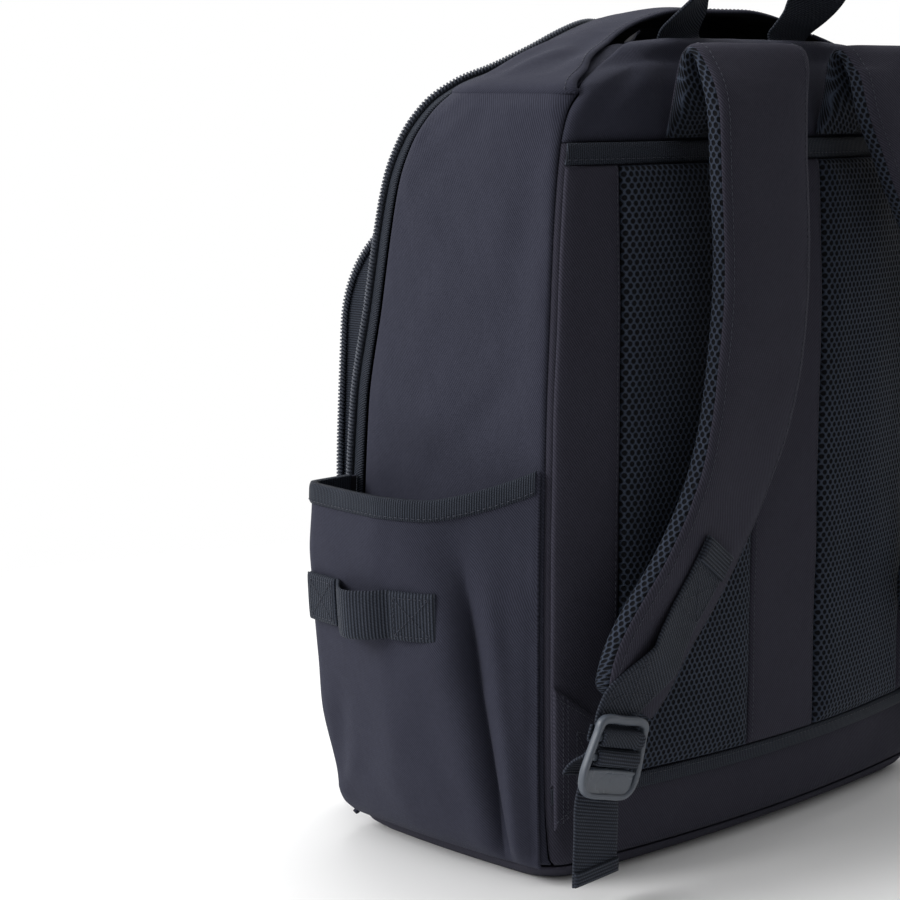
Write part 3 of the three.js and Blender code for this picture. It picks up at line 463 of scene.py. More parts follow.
# %% [markdown]
# ## Twill
# The bag's cloth is a coated twill: yarns crossing at right angles whose floats step sideways, which
# draws fine diagonal lines. Height is the diagonal wave with the two yarns' own waves on top, and
# the colour is a near-black navy with slightly paler floats and slow cloudiness from handling.
# %% The twill's two finishes
def twill(name, dark, pale, pitch=1.0):
    f = Finish(name, Roughness=0.86, Sheen_Weight=0.04, Sheen_Roughness=0.4, Specular_IOR_Level=0.16)
    f.shader.inputs["Sheen Tint"].default_value = (0.62, 0.66, 0.85, 1)
    u, v = f.lay()
    diagonal = (u * 0.8 + v * 0.6).wave(pitch)
    yarns = u.wave(pitch * 0.53) * 0.35 + v.wave(pitch * 0.47) * 0.35
    cloud = f.noise(34, 3)
    grain = f.noise(420, 2, 0.7)
    tone = diagonal * 0.62 + yarns * 0.26 + cloud * 0.14 + grain * 0.3 - 0.17
    tone = tone.do("MINIMUM", 1).do("MAXIMUM", 0)
    f.set(f.shader, {"Base Color": f.colours(tone, dark, pale), "Roughness": 0.93 - tone * 0.12})
    soft = f.bump(f.noise(46, 4, 0.55), 0.0016, 0.55)
    fine = f.bump(diagonal * 0.6 + yarns * 0.4 + grain * 0.35, 0.00026, 0.9, under=soft)
    f.set(f.shader, {"Normal": fine})
    return f.material


twill_side = twill("twill", (0.0155, 0.0162, 0.0255), (0.046, 0.048, 0.073))
twill_back = twill("twill_shade", (0.0165, 0.016, 0.024), (0.047, 0.0455, 0.066), 1.15)


def lining_cloth():
    """A thin plain lining: a fine square weave, near black."""
    f = Finish("lining", Roughness=0.9, Specular_IOR_Level=0.2)
    u, v = f.lay()
    weave = u.wave(0.9) * v.wave(0.9)
    f.set(f.shader, {"Base Color": f.colours(weave * 0.5 + f.noise(60) * 0.5, (0.01, 0.01, 0.013),
        (0.024, 0.023, 0.028))})
    f.set(f.shader, {"Normal": f.bump(f.noise(120, 3), 0.0008, 0.6)})
    return f.material


lining = lining_cloth()

# %% [markdown]
# ## Spacer mesh
# The padded back and the straps' undersides are knitted spacer mesh: oval holes in staggered rows.
# Two lattices of ellipses give the holes. Their distance gives both the hole, painted near black as
# the shade down inside it, and the rounded thread round it, so that colour and bump agree.
# %% The mesh's holes and threads
def spacer_mesh(name, across=3.3, up=5.5, hole_x=1.12, hole_z=1.35):
    f = Finish(name, Roughness=0.72, Sheen_Weight=0.03, Sheen_Roughness=0.4, Specular_IOR_Level=0.2)
    f.shader.inputs["Sheen Tint"].default_value = (0.5, 0.62, 0.8, 1)
    u, v = f.lay()

    def hole(shift_u, shift_v):
        a = (u + shift_u).cell(across) / hole_x
        b = (v + shift_v).cell(up) / hole_z
        return (a * a + b * b).do("SQRT")

    near = hole(0, 0).do("MINIMUM", hole(across / 2, up / 2))
    thread = near.rise(0.78, 1.12)
    strands = (u + v * 0.6).wave(0.62) * 0.5 + (u - v * 0.6).wave(0.62) * 0.5
    cloud = f.noise(40, 3)
    pale = f.colours(strands * 0.55 + cloud * 0.45, (0.014, 0.019, 0.031), (0.05, 0.065, 0.1))
    # Painted shade: the holes are coloured near black for the shadow down inside the mesh.
    painted_hole_shade = (0.0025, 0.003, 0.005, 1)
    f.set(f.shader, {"Base Color": f.blend(thread, painted_hole_shade, pale), "Roughness": 0.95 - thread * 0.25})
    high = thread * 0.75 + near.do("MINIMUM", 1.7) * 0.2 + strands * 0.12 * thread
    f.set(f.shader, {"Normal": f.bump(high, 0.0011, 1.0, under=f.bump(f.noise(30, 2), 0.0015, 0.4))})
    return f.material


mesh_cloth = spacer_mesh("spacer_mesh")

# %% [markdown]
# ## Webbing and tape
# Webbing is woven narrow: hard ribs run across it, a rib every millimetre or so, and each rib is a
# row of small yarn loops. Tape is the same weave, finer.
# %% Ribs of the webbing
def webbing_cloth(name, rib, yarn, dark=(0.0085, 0.0105, 0.0165), pale=(0.032, 0.0395, 0.058)):
    f = Finish(name, Roughness=0.62, Sheen_Weight=0.03, Sheen_Roughness=0.35, Specular_IOR_Level=0.22)
    f.shader.inputs["Sheen Tint"].default_value = (0.55, 0.68, 0.8, 1)
    u, v = f.lay()
    ribs = v.wave(rib)
    loops = (u + (v / rib + 0.25).do("FLOOR") * (yarn / 2)).wave(yarn)
    wear = f.noise(55, 3)
    tone = (ribs * 0.75 + loops * 0.3 * ribs + wear * 0.4 - 0.22).do("MINIMUM", 1).do("MAXIMUM", 0)
    f.set(f.shader, {"Base Color": f.colours(tone, dark, pale), "Roughness": 0.8 - tone * 0.2})
    f.set(f.shader, {"Normal": f.bump(ribs * 0.7 + loops * 0.3, 0.0006, 1.0)})
    return f.material


webbing = webbing_cloth("webbing", 1.7, 1.5)
tape = webbing_cloth("grosgrain", 1.25, 1.1)


def thread_finish():
    """Sewing thread: two plies twisted round each other."""
    f = Finish("thread", Roughness=0.5, Specular_IOR_Level=0.3)
    f.set(f.shader, {"Base Color": f.colours(f.noise(900, 2), (0.02, 0.022, 0.032), (0.065, 0.07, 0.095))})
    return f.material


thread = thread_finish()

# %% [markdown]
# ## Moulded plastic and zip coil
# The buckle is moulded with a fine spark-eroded grain that rubs paler and shinier in patches. The zip's
# coil is wound monofilament, dyed grey-blue.
# %% Plastics
def plastic(name, dark, pale, rough):
    f = Finish(name, Roughness=rough, Coat_Weight=0.12, Coat_Roughness=0.3, Specular_IOR_Level=0.5)
    grain = f.noise(1500, 2, 0.6)
    rubbed = f.noise(70, 3)
    f.set(f.shader, {"Base Color": f.colours(rubbed * 0.7 + grain * 0.3, dark, pale),
        "Roughness": rough + 0.12 - rubbed * 0.2})
    f.set(f.shader, {"Normal": f.bump(grain, 0.00004, 0.6)})
    return f.material


buckle_plastic = plastic("buckle_plastic", (0.05, 0.06, 0.078), (0.085, 0.1, 0.125), 0.4)
coil_plastic = plastic("coil_plastic", (0.022, 0.027, 0.04), (0.05, 0.06, 0.085), 0.6)
print("twill, lining, mesh, webbing, tape, thread and plastic are ready")

# %% [markdown]
# ## Soft folds
# Stuffed cloth is never quite flat. A few long waves of unlike lengths and directions, added along
# the normal, are enough to catch the light unevenly. Each single crease is a ridge along a line.
# %% Waves and creases
def waves(a, b, seed, size, long=90.0):
    """A sum of five sines over the plane (a, b), with lengths from long downwards, seeded."""
    rng = np.random.default_rng(seed)
    total = 0.0
    for k in range(5):
        turn, phase = rng.uniform(0, np.pi), rng.uniform(0, 2 * np.pi)
        total = total + np.sin((a * np.cos(turn) + b * np.sin(turn)) * 2 * np.pi / (long * 0.72**k)
            + phase) / (k + 1.3)
    return total * size * 0.5


def crease(a, b, start, end, width, size):
    """A ridge (or a dent if size is below 0) along the line from start to end, whose height falls
    as a bell across the line and tapers to nothing at both its ends."""
    start, end = np.array(start, float), np.array(end, float)
    way = end - start
    long = np.hypot(*way)
    t = ((a - start[0]) * way[0] + (b - start[1]) * way[1]) / long**2
    off = ((a - start[0]) * -way[1] + (b - start[1]) * way[0]) / long
    along = np.clip(np.sin(np.pi * np.clip(t, 0, 1)), 0, 1) ** 0.7
    return size * along * np.exp(-((off / width) ** 2))


def between(low, high, count):
    return np.linspace(low, high, count)


# %% [markdown]
# ## Threads
# Every seam shows a row of stitches. One stitch is a short fat thread that dips at both ends; it is
# made once as a few rings, then placed all along a line, turned to the line and to the cloth.
# %% Rows of stitches
stitch_rings = np.array([(-0.5, 0.05, -0.5), (-0.38, 0.8, 0.15), (0.0, 1.0, 0.5), (0.38, 0.8, 0.15),
    (0.5, 0.05, -0.5)])
stitch_turn = np.linspace(0, 2 * np.pi, 6)[:-1]
stitch_rows = {}


def resample(path, step=None, count=None):
    """Points evenly spaced along a line, by straight shares of its length."""
    run = np.concatenate([[0], np.cumsum(np.linalg.norm(np.diff(path, axis=0), axis=-1))])
    count = count or max(2, int(round(run[-1] / step)) + 1)
    at = np.linspace(0, run[-1], count)
    return np.stack([np.interp(at, run, path[:, k]) for k in range(path.shape[1])], -1)


def sew(group, path, normal, pitch=3.4, long=2.5, thick=0.42, lift=0.12):
    """Adds a row of stitches to a group: path is a line of points on the cloth, and normal the
    cloth's normals along it."""
    both = resample(np.concatenate([path, normal], -1), step=pitch)
    p, n = both[:, :3], unit(both[:, 3:])
    p, n = (p[1:] + p[:-1]) / 2, unit(n[1:] + n[:-1])
    along = unit(both[1:, :3] - both[:-1, :3])
    side = unit(np.cross(n, along))
    x = stitch_rings[:, 0] * long
    r = stitch_rings[:, 1] * thick / 2
    z = stitch_rings[:, 2] * thick + lift
    shape = p[:, None, None] + along[:, None, None] * x[None, :, None, None]
    shape = shape + side[:, None, None] * (r[:, None] * np.cos(stitch_turn))[None, ..., None]
    shape = shape + n[:, None, None] * (z[:, None] + r[:, None] * np.sin(stitch_turn))[None, ..., None]
    stitch_rows.setdefault(group, []).append(shape)


def tie_off(group):
    """Makes one mesh of a group's stitches."""
    shapes = np.concatenate(stitch_rows[group])
    count, rings, sides = shapes.shape[:3]
    cell = quads(rings, sides, close_u=True)
    faces = (cell[None] + (np.arange(count) * rings * sides)[:, None, None]).reshape(-1, 4)
    piece = make_mesh(group, shapes.reshape(-1, 3), faces, np.zeros((count * rings * sides, 2)))
    finish_piece(piece, None, [thread])
    print(group, "has", count, "stitches")


def sew_on(group, p, row=None, col=None, **kind):
    """Stitches along a row or a column of the grid p."""
    n = grid_normal(p)
    sew(group, p[row] if row is not None else p[:, col], n[row] if row is not None else n[:, col], **kind)


def on_grid(p, i, j):
    """The grid p at fractional rows i and columns j, by straight shares between its points."""
    i, j = np.broadcast_arrays(np.asarray(i, float), j)
    i0 = np.clip(i.astype(int), 0, p.shape[0] - 2)
    j0 = np.clip(j.astype(int), 0, p.shape[1] - 2)
    s, t = (i - i0)[..., None], (j - j0)[..., None]
    low = p[i0, j0] * (1 - t) + p[i0, j0 + 1] * t
    return low * (1 - s) + (p[i0 + 1, j0] * (1 - t) + p[i0 + 1, j0 + 1] * t) * s


def sew_lines(group, p, corners, **kind):
    """Straight rows of stitches on the grid p, between neighbouring (row, column) corners."""
    n = grid_normal(p)
    t = np.linspace(0, 1, 40)
    for (i, j), (i2, j2) in zip(corners, corners[1:]):
        sew(group, on_grid(p, mix(i, i2, t), mix(j, j2, t)), on_grid(n, mix(i, i2, t), mix(j, j2, t)),
            **kind)


def sew_box(group, p, rows, cols, cross=True, **kind):
    """A stitched box on the grid p, with its two diagonals if cross is true."""
    (a, b), (c, d) = rows, cols
    sew_lines(group, p, [(a, c), (a, d), (b, d), (b, c), (a, c)], **kind)
    if cross:
        sew_lines(group, p, [(a, c), (b, d)], **kind)
        sew_lines(group, p, [(a, d), (b, c)], **kind)


box_thread = {"pitch": 2.7, "long": 1.9, "thick": 0.38}


def mirror(p):
    """The grid of the bag's other side, with its columns turned round so that it still faces out."""
    return p[:, ::-1] * np.array([-1.0, 1, 1])


def lapped(p, n, off):
    """The grid lifted off along its normals."""
    return p + n * np.asarray(off)[..., None] if np.ndim(off) else p + n * off


# %% [markdown]
# ## The side panels
# Each side is one panel of twill between the zip's tape and the back seam. It hangs in long shallow
# waves, with a few creases where the top corner and the pocket's hem pull on it. The straight rule
# would be a flat plate; a grid laid on the form and then dented keeps the seams where they are.
# %% Side panels
seam_gap, back_turn, zip_set, tape_end = 0.4, 3.0, 1.7, 10.7
top_seam, yoke_seam, base_rise = 384.0, 358.0, 9.0


def across_at(y, z):
    """How far out the form reaches at a depth and height, by halving the range 40 times."""
    low, high = np.zeros(np.broadcast(y, z).shape), np.full(np.broadcast(y, z).shape, 175.0)
    for _ in range(40):
        middle = (low + high) / 2
        outside = off_form(np.stack(np.broadcast_arrays(middle, y, z), -1)) > 0
        low, high = np.where(outside, low, middle), np.where(outside, middle, high)
    return low


u, v = np.meshgrid(between(0, 1, 116), between(0, 1, 200))
side_z = mix(base_rise + seam_gap + 0.2, top_seam - 0.2, v)
side_y = mix(zip_at(side_z) + tape_end + seam_gap, seam_y - back_turn - 0.2, u)
side_grid = onto_form(np.stack([across_at(side_y, side_z), side_y, side_z], -1), rounds=2)
side_n = grid_normal(side_grid)
y_, z_ = side_grid[..., 1], side_grid[..., 2]
hold = ease(u, 0, 0.1) * ease(-u, -1, -0.92) * ease(v, 0, 0.03) * ease(-v, -1, -0.97)
dents = waves(y_, z_, 3, 1.5, 150) + waves(y_, z_, 8, 0.5, 46)
dents = dents + crease(y_, z_, (-52, 352), (8, 300), 9, 1.6) + crease(y_, z_, (-40, 368), (30, 330), 7,
    -1.3)
dents = dents + crease(y_, z_, (58, 372), (44, 250), 10, -1.8) + crease(y_, z_, (-66, 230), (40, 214),
    12, 1.4)
dents = dents + crease(y_, z_, (20, 378), (-34, 340), 6, 0.9) + crease(y_, z_, (60, 260), (10, 205), 9,
    -1.2)
side_cloth = lapped(side_grid, side_n, dents * hold)
finish_piece(cloth("side_cloth_right", side_cloth, 2.3, 1.1, 5), "side_panel_right",
    [twill_side, lining])
finish_piece(cloth("side_cloth_left", mirror(side_cloth), 2.3, 1.1, 5), "side_panel_left",
    [twill_side, lining])
print("side panels:", side_cloth.shape)

# %% [markdown]
# ## Back, yoke and front
# The back panel and the yoke above it turn round the body's corner by 3 mm before their seam. A ring
# is walked from the middle: first straight, then round the corner, so the same share always lands on
# the same seam. The front panel is the same walk at the front.
# %% Panels that turn the corner


def walk(share, z, end_y, back=True):
    """The ring at height z: share 0 is the middle and 1 the place where the corner reaches end_y.
    Straight out first, then round the corner's arc."""
    side = np.sign(share)
    edge_y = back_at(z) if back else front_at(z)
    name = "back_round" if back else "front_round"
    r = np.clip(level(name, z) * half_wide, 0.6, (back_at(z) - front_at(z)) * 0.45)
    flat = np.maximum(wide_at(z) - r, 0)
    drop = (edge_y - end_y) if back else (end_y - edge_y)
    turn = np.arccos(np.clip(1 - drop / r, -1, 1))
    run = np.abs(share) * (flat + r * turn)
    angle = np.maximum(run - flat, 0) / r
    x = np.where(run < flat, run, flat + r * np.sin(angle))
    inward = r * (1 - np.cos(angle))
    y = edge_y - inward if back else edge_y + inward
    across = np.minimum(x / np.maximum(wide_at(z), 1), 1)
    swell = level("swell", z) * back_swell * (1 - across**2) if back else 0
    return np.stack([side * x, y + swell, z], -1)


u, v = np.meshgrid(between(1, -1, 200), between(0, 1, 120))
back_z = mix(base_rise + seam_gap + 0.2, yoke_seam - 0.2, v)
back_grid = walk(u, back_z, seam_y - back_turn + 0.2)
low_dents = waves(back_grid[..., 0], back_grid[..., 2], 11, 1.0, 120) * ease(-back_z, -60,
    -30) * ease(back_z, 12, 20)
back_cloth = lapped(back_grid, grid_normal(back_grid), low_dents
    - ease(back_z, 38, 50) * ease(-back_z, -362, -350) * 0.5)
finish_piece(cloth("back_cloth", back_cloth, 2.3, 1.0, 4), "back_panel", [twill_back, lining])

mouth_half, mouth_low, mouth_high, mouth_gap = 131.0, 381.0, 408.0, 30.0


def mouth_share(x):
    return np.minimum(np.abs(x) / mouth_half, 1)


def yoke_edge(x):
    return mix(mouth_high, mouth_low, mouth_share(x) ** 5)


def band_edge(x):
    return seam_y - mouth_gap * (1 - mouth_share(x) ** 4)


def cut_y(z):
    """The seam between the yoke and what lies ahead of it leans forward above the mouth's ends."""
    return seam_y - back_turn - np.maximum(z - mouth_low, 0) * 0.612


u, v = np.meshgrid(between(1, -1, 220), between(0, 1, 70))
yoke_top = np.full(u.shape, mouth_high)
for _ in range(24):
    yoke_top = (yoke_top + yoke_edge(walk(u, yoke_top, cut_y(yoke_top) + 0.2)[..., 0])) / 2
yoke_z = mix(yoke_seam + seam_gap + 0.2, yoke_top, v)
yoke_grid = walk(u, yoke_z, cut_y(yoke_z) + 0.2)
x_, z_ = yoke_grid[..., 0], yoke_grid[..., 2]
lip = 2.2 * np.exp(-(((1 - v) * (yoke_top - yoke_seam)
    - 4.5) / 3.2) ** 2) - 1.2 * np.exp(-(((1 - v) * (yoke_top - yoke_seam) - 11) / 3) ** 2)
sag = waves(x_, z_, 21, 1.1, 90) + crease(x_, z_, (120, 372), (70, 400), 6, 1.6) + crease(x_, z_,
    (-120, 372), (-70, 400), 6, 1.6)
sag = sag + crease(x_, z_, (138, 362), (96, 392), 5, -1.2) + crease(x_, z_, (100, 366), (86, 398), 7, 1.0)
yoke_cloth = lapped(yoke_grid, grid_normal(yoke_grid),
    (sag * ease(v, 0, 0.12) + lip) * ease(1 - np.abs(u), 0, 0.04))
finish_piece(cloth("yoke_cloth", yoke_cloth, 2.6, 1.1, 5), "yoke", [twill_side, lining])


def zip_proud(z):
    """How far the stiff coil pushes the zip out of the form."""
    return 2.3 * ease(z, 16, 60) * ease(-z, -404, -372)


u, v = np.meshgrid(between(-1, 1, 150), between(0, 1, 170))
front_z = mix(base_rise + seam_gap + 0.2, 414.6, v)
front_grid = walk(u, front_z, zip_at(front_z) + 1.1, back=False)
x_, z_ = front_grid[..., 0], front_grid[..., 2]
front_n = grid_normal(front_grid)
full = waves(x_, z_, 31, 1.5, 160) * ease(v, 0, 0.05) * ease(-v, -1, -0.94) * ease(1 - np.abs(u), 0, 0.12)
front_cloth = lapped(front_grid, front_n, full + zip_proud(front_z) * ease(np.abs(u), 0.9, 1))
finish_piece(cloth("front_cloth", front_cloth, 2.3, 1.0, 5), "front_panel", [twill_side, lining])
print("back, yoke and front:", back_cloth.shape, yoke_cloth.shape, front_cloth.shape)

# %% [markdown]
# ## The base
# The base is a shallow tray. One profile, from the middle of its underside out and up to the rim
# and back down inside, is carried once round the form's own ring.
# %% Base tray


def ring_at(z, turn):
    """The form's ring at height z, for directions turn from its middle, by halving a range."""
    middle_y = (back_at(z) + front_at(z)) / 2
    low, high = np.zeros(np.broadcast(z, turn).shape), np.full(np.broadcast(z, turn).shape, 240.0)
    for _ in range(36):
        r = (low + high) / 2
        p = np.stack(np.broadcast_arrays(r * np.cos(turn), middle_y + r * np.sin(turn), z), -1)
        outside = off_form(p) > 0
        low, high = np.where(outside, low, r), np.where(outside, r, high)
    return np.stack(np.broadcast_arrays(low * np.cos(turn), middle_y + low * np.sin(turn), z), -1)


profile = np.array([(0.03, 0, 0), (0.5, 0, 0), (0.9, 0, 0), (0.97, 0, 0), (1, 0, 0.4), (1, 0, 1.6),
    (1, 0, 4), (1, 0, 7),
                    (1, 0, 8.4), (1, 0.6, 9), (1, 1.8, 9), (1, 2.4, 8.4), (1, 2.4, 3.4), (0.97, 0, 2.4),
                        (0.5, 0, 2.4), (0.03, 0, 2.4)])
turn = np.linspace(0, 2 * np.pi, 361)[:-1][None, :]
base_ring = ring_at(profile[:, 2:3] + 0 * turn, turn)
share, inset = profile[:, 0][:, None, None], profile[:, 1][:, None, None]
outwards = unit(base_ring * np.array([1, 1, 0]))
base_skin = (base_ring - outwards * inset) * np.stack([share[..., 0], share[..., 0],
    np.ones_like(share[..., 0])], -1)
base_lay = np.stack([base_skin[..., 0], base_skin[..., 1] + base_skin[..., 2]], -1)
finish_piece(tube("base_cloth", base_skin, base_lay), "base_panel", [twill_back])

# %% [markdown]
# ## The main zip
# The zip runs up one side of the front panel, over the arch and down the other side. Its line is
# drawn on the form, smoothed where it turns onto the arch, and the tape, the coil and the seam
# beside it all follow that one line.
# %% The zip's line
side_heights = mix(13.5, 414.0, 1 - (1 - between(0, 1, 160)) ** 1.5)
line_y = zip_at(side_heights) + 2.9
right_line = np.stack([across_at(line_y, side_heights), line_y, side_heights], -1)
right_line = right_line[right_line[:, 0] > 20]
zip_line = resample(np.concatenate([right_line, right_line[::-1] * [-1, 1, 1]]), step=2.0)
ends = zip_line[[0, -1]].copy()
for _ in range(30):
    zip_line[1:-1] = (zip_line[:-2] + zip_line[2:] + 2 * zip_line[1:-1]) / 4
zip_line[[0, -1]] = ends
zip_line = resample(onto_form(zip_line), step=2.0)
zip_n = unit(form_normal(zip_line))
zip_run = unit(np.gradient(zip_line, axis=0))
zip_side = unit(np.cross(zip_run, zip_n))  # from the front panel towards the body
print("the zip is", round(float(np.linalg.norm(np.diff(zip_line, axis=0), axis=-1).sum())), "mm long")
if zip_side[10, 1] < 0:
    zip_side = -zip_side

# %% The tape beside the coil


def beside_zip(offsets):
    """A grid along the zip: column by column at those distances from its line, laid on the form."""
    offsets = np.asarray(offsets, float)
    return onto_form(zip_line[:, None] + zip_side[:, None] * offsets[None, :, None], rounds=4)


tape_offsets = between(-5, tape_end - 2.4, 16)
tape_grid = beside_zip(tape_offsets)
tape_n = form_normal(tape_grid)
tape_rise = np.clip(1 - tape_offsets / (tape_end - 2.4), 0, 1) ** 0.8
tape_grid = lapped(tape_grid, tape_n, 0.15 + zip_proud(tape_grid[..., 2]) * tape_rise
    - 2.6 * ease(-tape_offsets, 0.8, 2.2))
if np.einsum("ijk,ijk->ij", grid_normal(tape_grid), tape_n).mean() < 0:
    tape_grid, tape_n = tape_grid[:, ::-1], tape_n[:, ::-1]
finish_piece(cloth("zip_tape", tape_grid, 1.6, 0.3, 1.2), "main_zip_tape", [tape, lining])

# %% [markdown]
# The coil is a real one: a thin wire wound round the zip's line, about 550 turns of a few faces each.
# %% The coil


def wound(line, n, side, radius, wire, pitch, name, node, squash=0.8):
    """A tube of radius wire wound round a line: a circle's cosine along side and sine along n, both
    times radius, once for every pitch millimetres."""
    run = np.concatenate([[0], np.cumsum(np.linalg.norm(np.diff(line, axis=0), axis=-1))])
    per = 9
    at = np.linspace(0, run[-1], int(run[-1] / pitch * per))
    spread = [np.stack([np.interp(at, run, w[:, k]) for k in range(3)], -1) for w in (line, n, side)]
    turn = at / pitch * 2 * np.pi
    middle = spread[0] + spread[2] * (radius * np.cos(turn))[:,
        None] + spread[1] * (radius * squash * np.sin(turn))[:, None]
    way = unit(np.gradient(middle, axis=0))
    a = unit(np.cross(way, spread[0] * 0 + unit(np.gradient(spread[0], axis=0))))
    b = np.cross(way, a)
    ring = np.linspace(0, 2 * np.pi, 6)[:-1]
    skin = middle[:, None] + a[:, None] * (wire * np.cos(ring))[None, :, None] + b[:,
        None] * (wire * np.sin(ring))[None, :, None]
    return finish_piece(tube(name, skin), node, [coil_plastic])


def core_cord(name, line, n, side, wide, high, drop):
    """The woven cord inside a coil: an oval, wide along side and high along n, set drop below the line."""
    turn = np.linspace(0, 2 * np.pi, 9)[:-1]
    skin = line[:, None] + side[:, None] * (wide * np.cos(turn))[None, :, None]
    skin = skin + n[:, None] * (high * np.sin(turn) - drop)[None, :, None]
    finish_piece(tube(name, skin), None, [tape])


coil_line = lapped(zip_line, zip_n, 2.1 + zip_proud(zip_line[:, 2]))
wound(coil_line, zip_n, zip_side, 1.75, 0.62, 1.9, "zip_coil", "main_zip_coil")
core_cord("zip_cord", coil_line, zip_n, zip_side, 1.75, 1.75, 0.75)

# %% [markdown]
# ## The top band
# The band of cloth over the bag's top is laid between two lines: the rear edge of the zip's tape, and
# the line where the yoke's seam goes over into the mouth's free edge. Straight shares between the
# two lines are dropped onto the form, so it domes as the form does.
# %% Top band


def height_at(x, y):
    """The form's top at a place seen from above, by halving a range of heights."""
    low, high = np.full(np.shape(x), 330.0), np.full(np.shape(x), heights[-1])
    for _ in range(36):
        middle = (low + high) / 2
        outside = off_form(np.stack([x, y, middle], -1)) > 0
        low, high = np.where(outside, low, middle), np.where(outside, middle, high)
    return low


band_foot = top_seam - 3.6
rear = beside_zip([tape_end - 2.6])[:, 0]
rear = rear[rear[:, 2] > band_foot]
front_line = resample(rear if rear[0, 0] < 0 else rear[::-1], count=201)
edge_x = np.sin(between(-np.pi / 2, np.pi / 2, 401)) * 131.5
edge_y = band_edge(edge_x) - 0.2
for _ in range(12):
    edge_z = height_at(edge_x, edge_y)
    edge_y = np.minimum(edge_y, cut_y(edge_z) - 0.2)
back_line = np.stack([edge_x, edge_y, edge_z], -1)
back_line = back_line[edge_z > top_seam - 2]
down = np.stack([-across_at(cut_y(band_foot), band_foot) * np.ones(1), cut_y(np.array([band_foot])),
    [band_foot]], -1)
back_line = resample(np.concatenate([down, back_line, down * [-1, 1, 1]]), count=201)
w = between(0, 1, 44)[:, None, None]
band_grid = front_line[None] * (1 - w) + back_line[None] * w
foot_x = across_at(band_grid[:, 0, 1], band_grid[:, 0, 2])
fade = np.clip(1 - np.abs(np.arange(201) / 200 - np.array([0, 1])[:, None]) / 0.12, 0, 1) ** 2
reach = foot_x - np.abs(band_grid[:, 0, 0])
band_grid[..., 0] += reach[:, None] * (fade[1] - fade[0])[None]
# The form is nearly flat at its very top, where the steepest way is unsure, so the band's middle
# is averaged with its neighbours afterwards.
band_grid = onto_form(band_grid)
for _ in range(260):
    nearby = band_grid[:-2, 1:-1] + band_grid[2:, 1:-1] + band_grid[1:-1, :-2] + band_grid[1:-1, 2:]
    pull = ease(90 - np.abs(band_grid[1:-1, 1:-1, :1]), 0, 40)
    band_grid[1:-1, 1:-1] = mix(band_grid[1:-1, 1:-1], nearby / 4, pull)
band_n = grid_normal(band_grid)
if band_n[22, 100, 2] < 0:
    band_grid, band_n = band_grid[:, ::-1], -band_n[:, ::-1]
x_, y_ = band_grid[..., 0], band_grid[..., 1]
w_ = np.broadcast_to(w[..., 0], x_.shape)
ends_hold = ease(np.minimum(np.arange(201), 200 - np.arange(201))[None] / 200.0, 0, 0.04)
roll = 1.6 * np.exp(-((1 - w_) / 0.06) ** 2)
ruck = waves(x_, y_, 41, 1.0, 80) + crease(np.abs(x_), y_, (132, 20), (96, 34), 6,
    1.8) + crease(np.abs(x_), y_, (130, 44), (80, 36), 7, -1.6)
ruck = ruck + crease(np.abs(x_), y_, (128, 4), (84, 10), 6, 1.5) + crease(np.abs(x_), y_, (126, 58),
    (90, 50), 5, 1.4)
band_cloth = lapped(band_grid, band_n, 0.9 * (1 - ends_hold)
    + (ruck * ends_hold * ease(w_, 0, 0.15) + roll) + 0.3)
finish_piece(cloth("top_cloth", band_cloth, 2.4, 1.0, 4), "top_band", [twill_side, lining])

# %% The lap under the band's ends
# Towards its ends the mouth closes, because the band laps over the yoke there. The strip between
# their two edges is filled by a grid a little below both, which is full from 96 mm out and ends at 80.
mouth_front = band_grid[-1] if band_grid[-1, 100, 1] > band_grid[0, 100, 1] else band_grid[0]
mouth_back = yoke_grid[-1]
lap_x = between(80, 131, 90)


def edge_by_x(edge):
    order = np.argsort(edge[:, 0])
    return np.stack([np.interp(lap_x, edge[order, 0], edge[order, k]) for k in range(3)], -1)


lap_back, lap_front = edge_by_x(mouth_back), edge_by_x(mouth_front)
close = ease(lap_x, 80, 97)[None, :, None]
v = between(-0.35, 1.25, 16)[:, None, None]
lap_grid = lap_back[None] * (1 - v * close) + lap_front[None] * (v * close)
lap_grid = onto_form(lap_grid, lift=-1.5)
if grid_normal(lap_grid)[8, 40] @ form_normal(lap_grid[8, 40]) < 0:
    lap_grid = lap_grid[:, ::-1]
finish_piece(cloth("mouth_lap_right", lap_grid, 1.8, 0.1, 1.0), None, [twill_side, lining])
finish_piece(cloth("mouth_lap_left", mirror(lap_grid), 1.8, 0.1, 1.0), None, [twill_side, lining])
print("top band:", band_cloth.shape, "up to", round(float(band_cloth[..., 2].max()), 1), "mm")

# %% [markdown]
# ## The padded back
# Two mesh pads, a plain strip between them and one at each side lie on the back. A pad is thickest
# in its middle and is pulled down to its stitched border. They are shaped by formula and not by a
# simulation, because their seams have to stay exactly on the panel's.
# %% Pads on the back
mesh_inner, mesh_outer, low_top, band_wide = 27.0, 115.0, 51.0, 10.0
pad_low, pad_high = low_top + seam_gap, yoke_seam - band_wide - seam_gap


def on_back(from_x, to_x, low_z, high_z, cols, rows):
    """A grid on the back between two places across and two heights, columns running from +X to -X.
    A place across may be a function of the height."""
    u, v = np.meshgrid(between(0, 1, cols), between(0, 1, rows))
    z = mix(low_z, high_z, v)
    a = from_x(z) if callable(from_x) else from_x
    b = to_x(z) if callable(to_x) else to_x
    x = mix(a, b, u)
    p = np.stack([x, back_face(x, z), z], -1)
    return p, grid_normal(p)


def pillow(p, edge, full, wide):
    """A pad's thickness: edge at the rim, rising by a quarter circle over wide millimetres."""
    u, v = lengths(p, 1), lengths(p, 0)
    near = np.minimum(np.minimum(u - u[:, :1], u[:, -1:] - u), np.minimum(v - v[:1], v[-1:] - v))
    t = np.clip(near / wide, 0, 1)
    return mix(edge, full, np.sqrt(np.maximum(1 - (1 - t) ** 2, 0)))


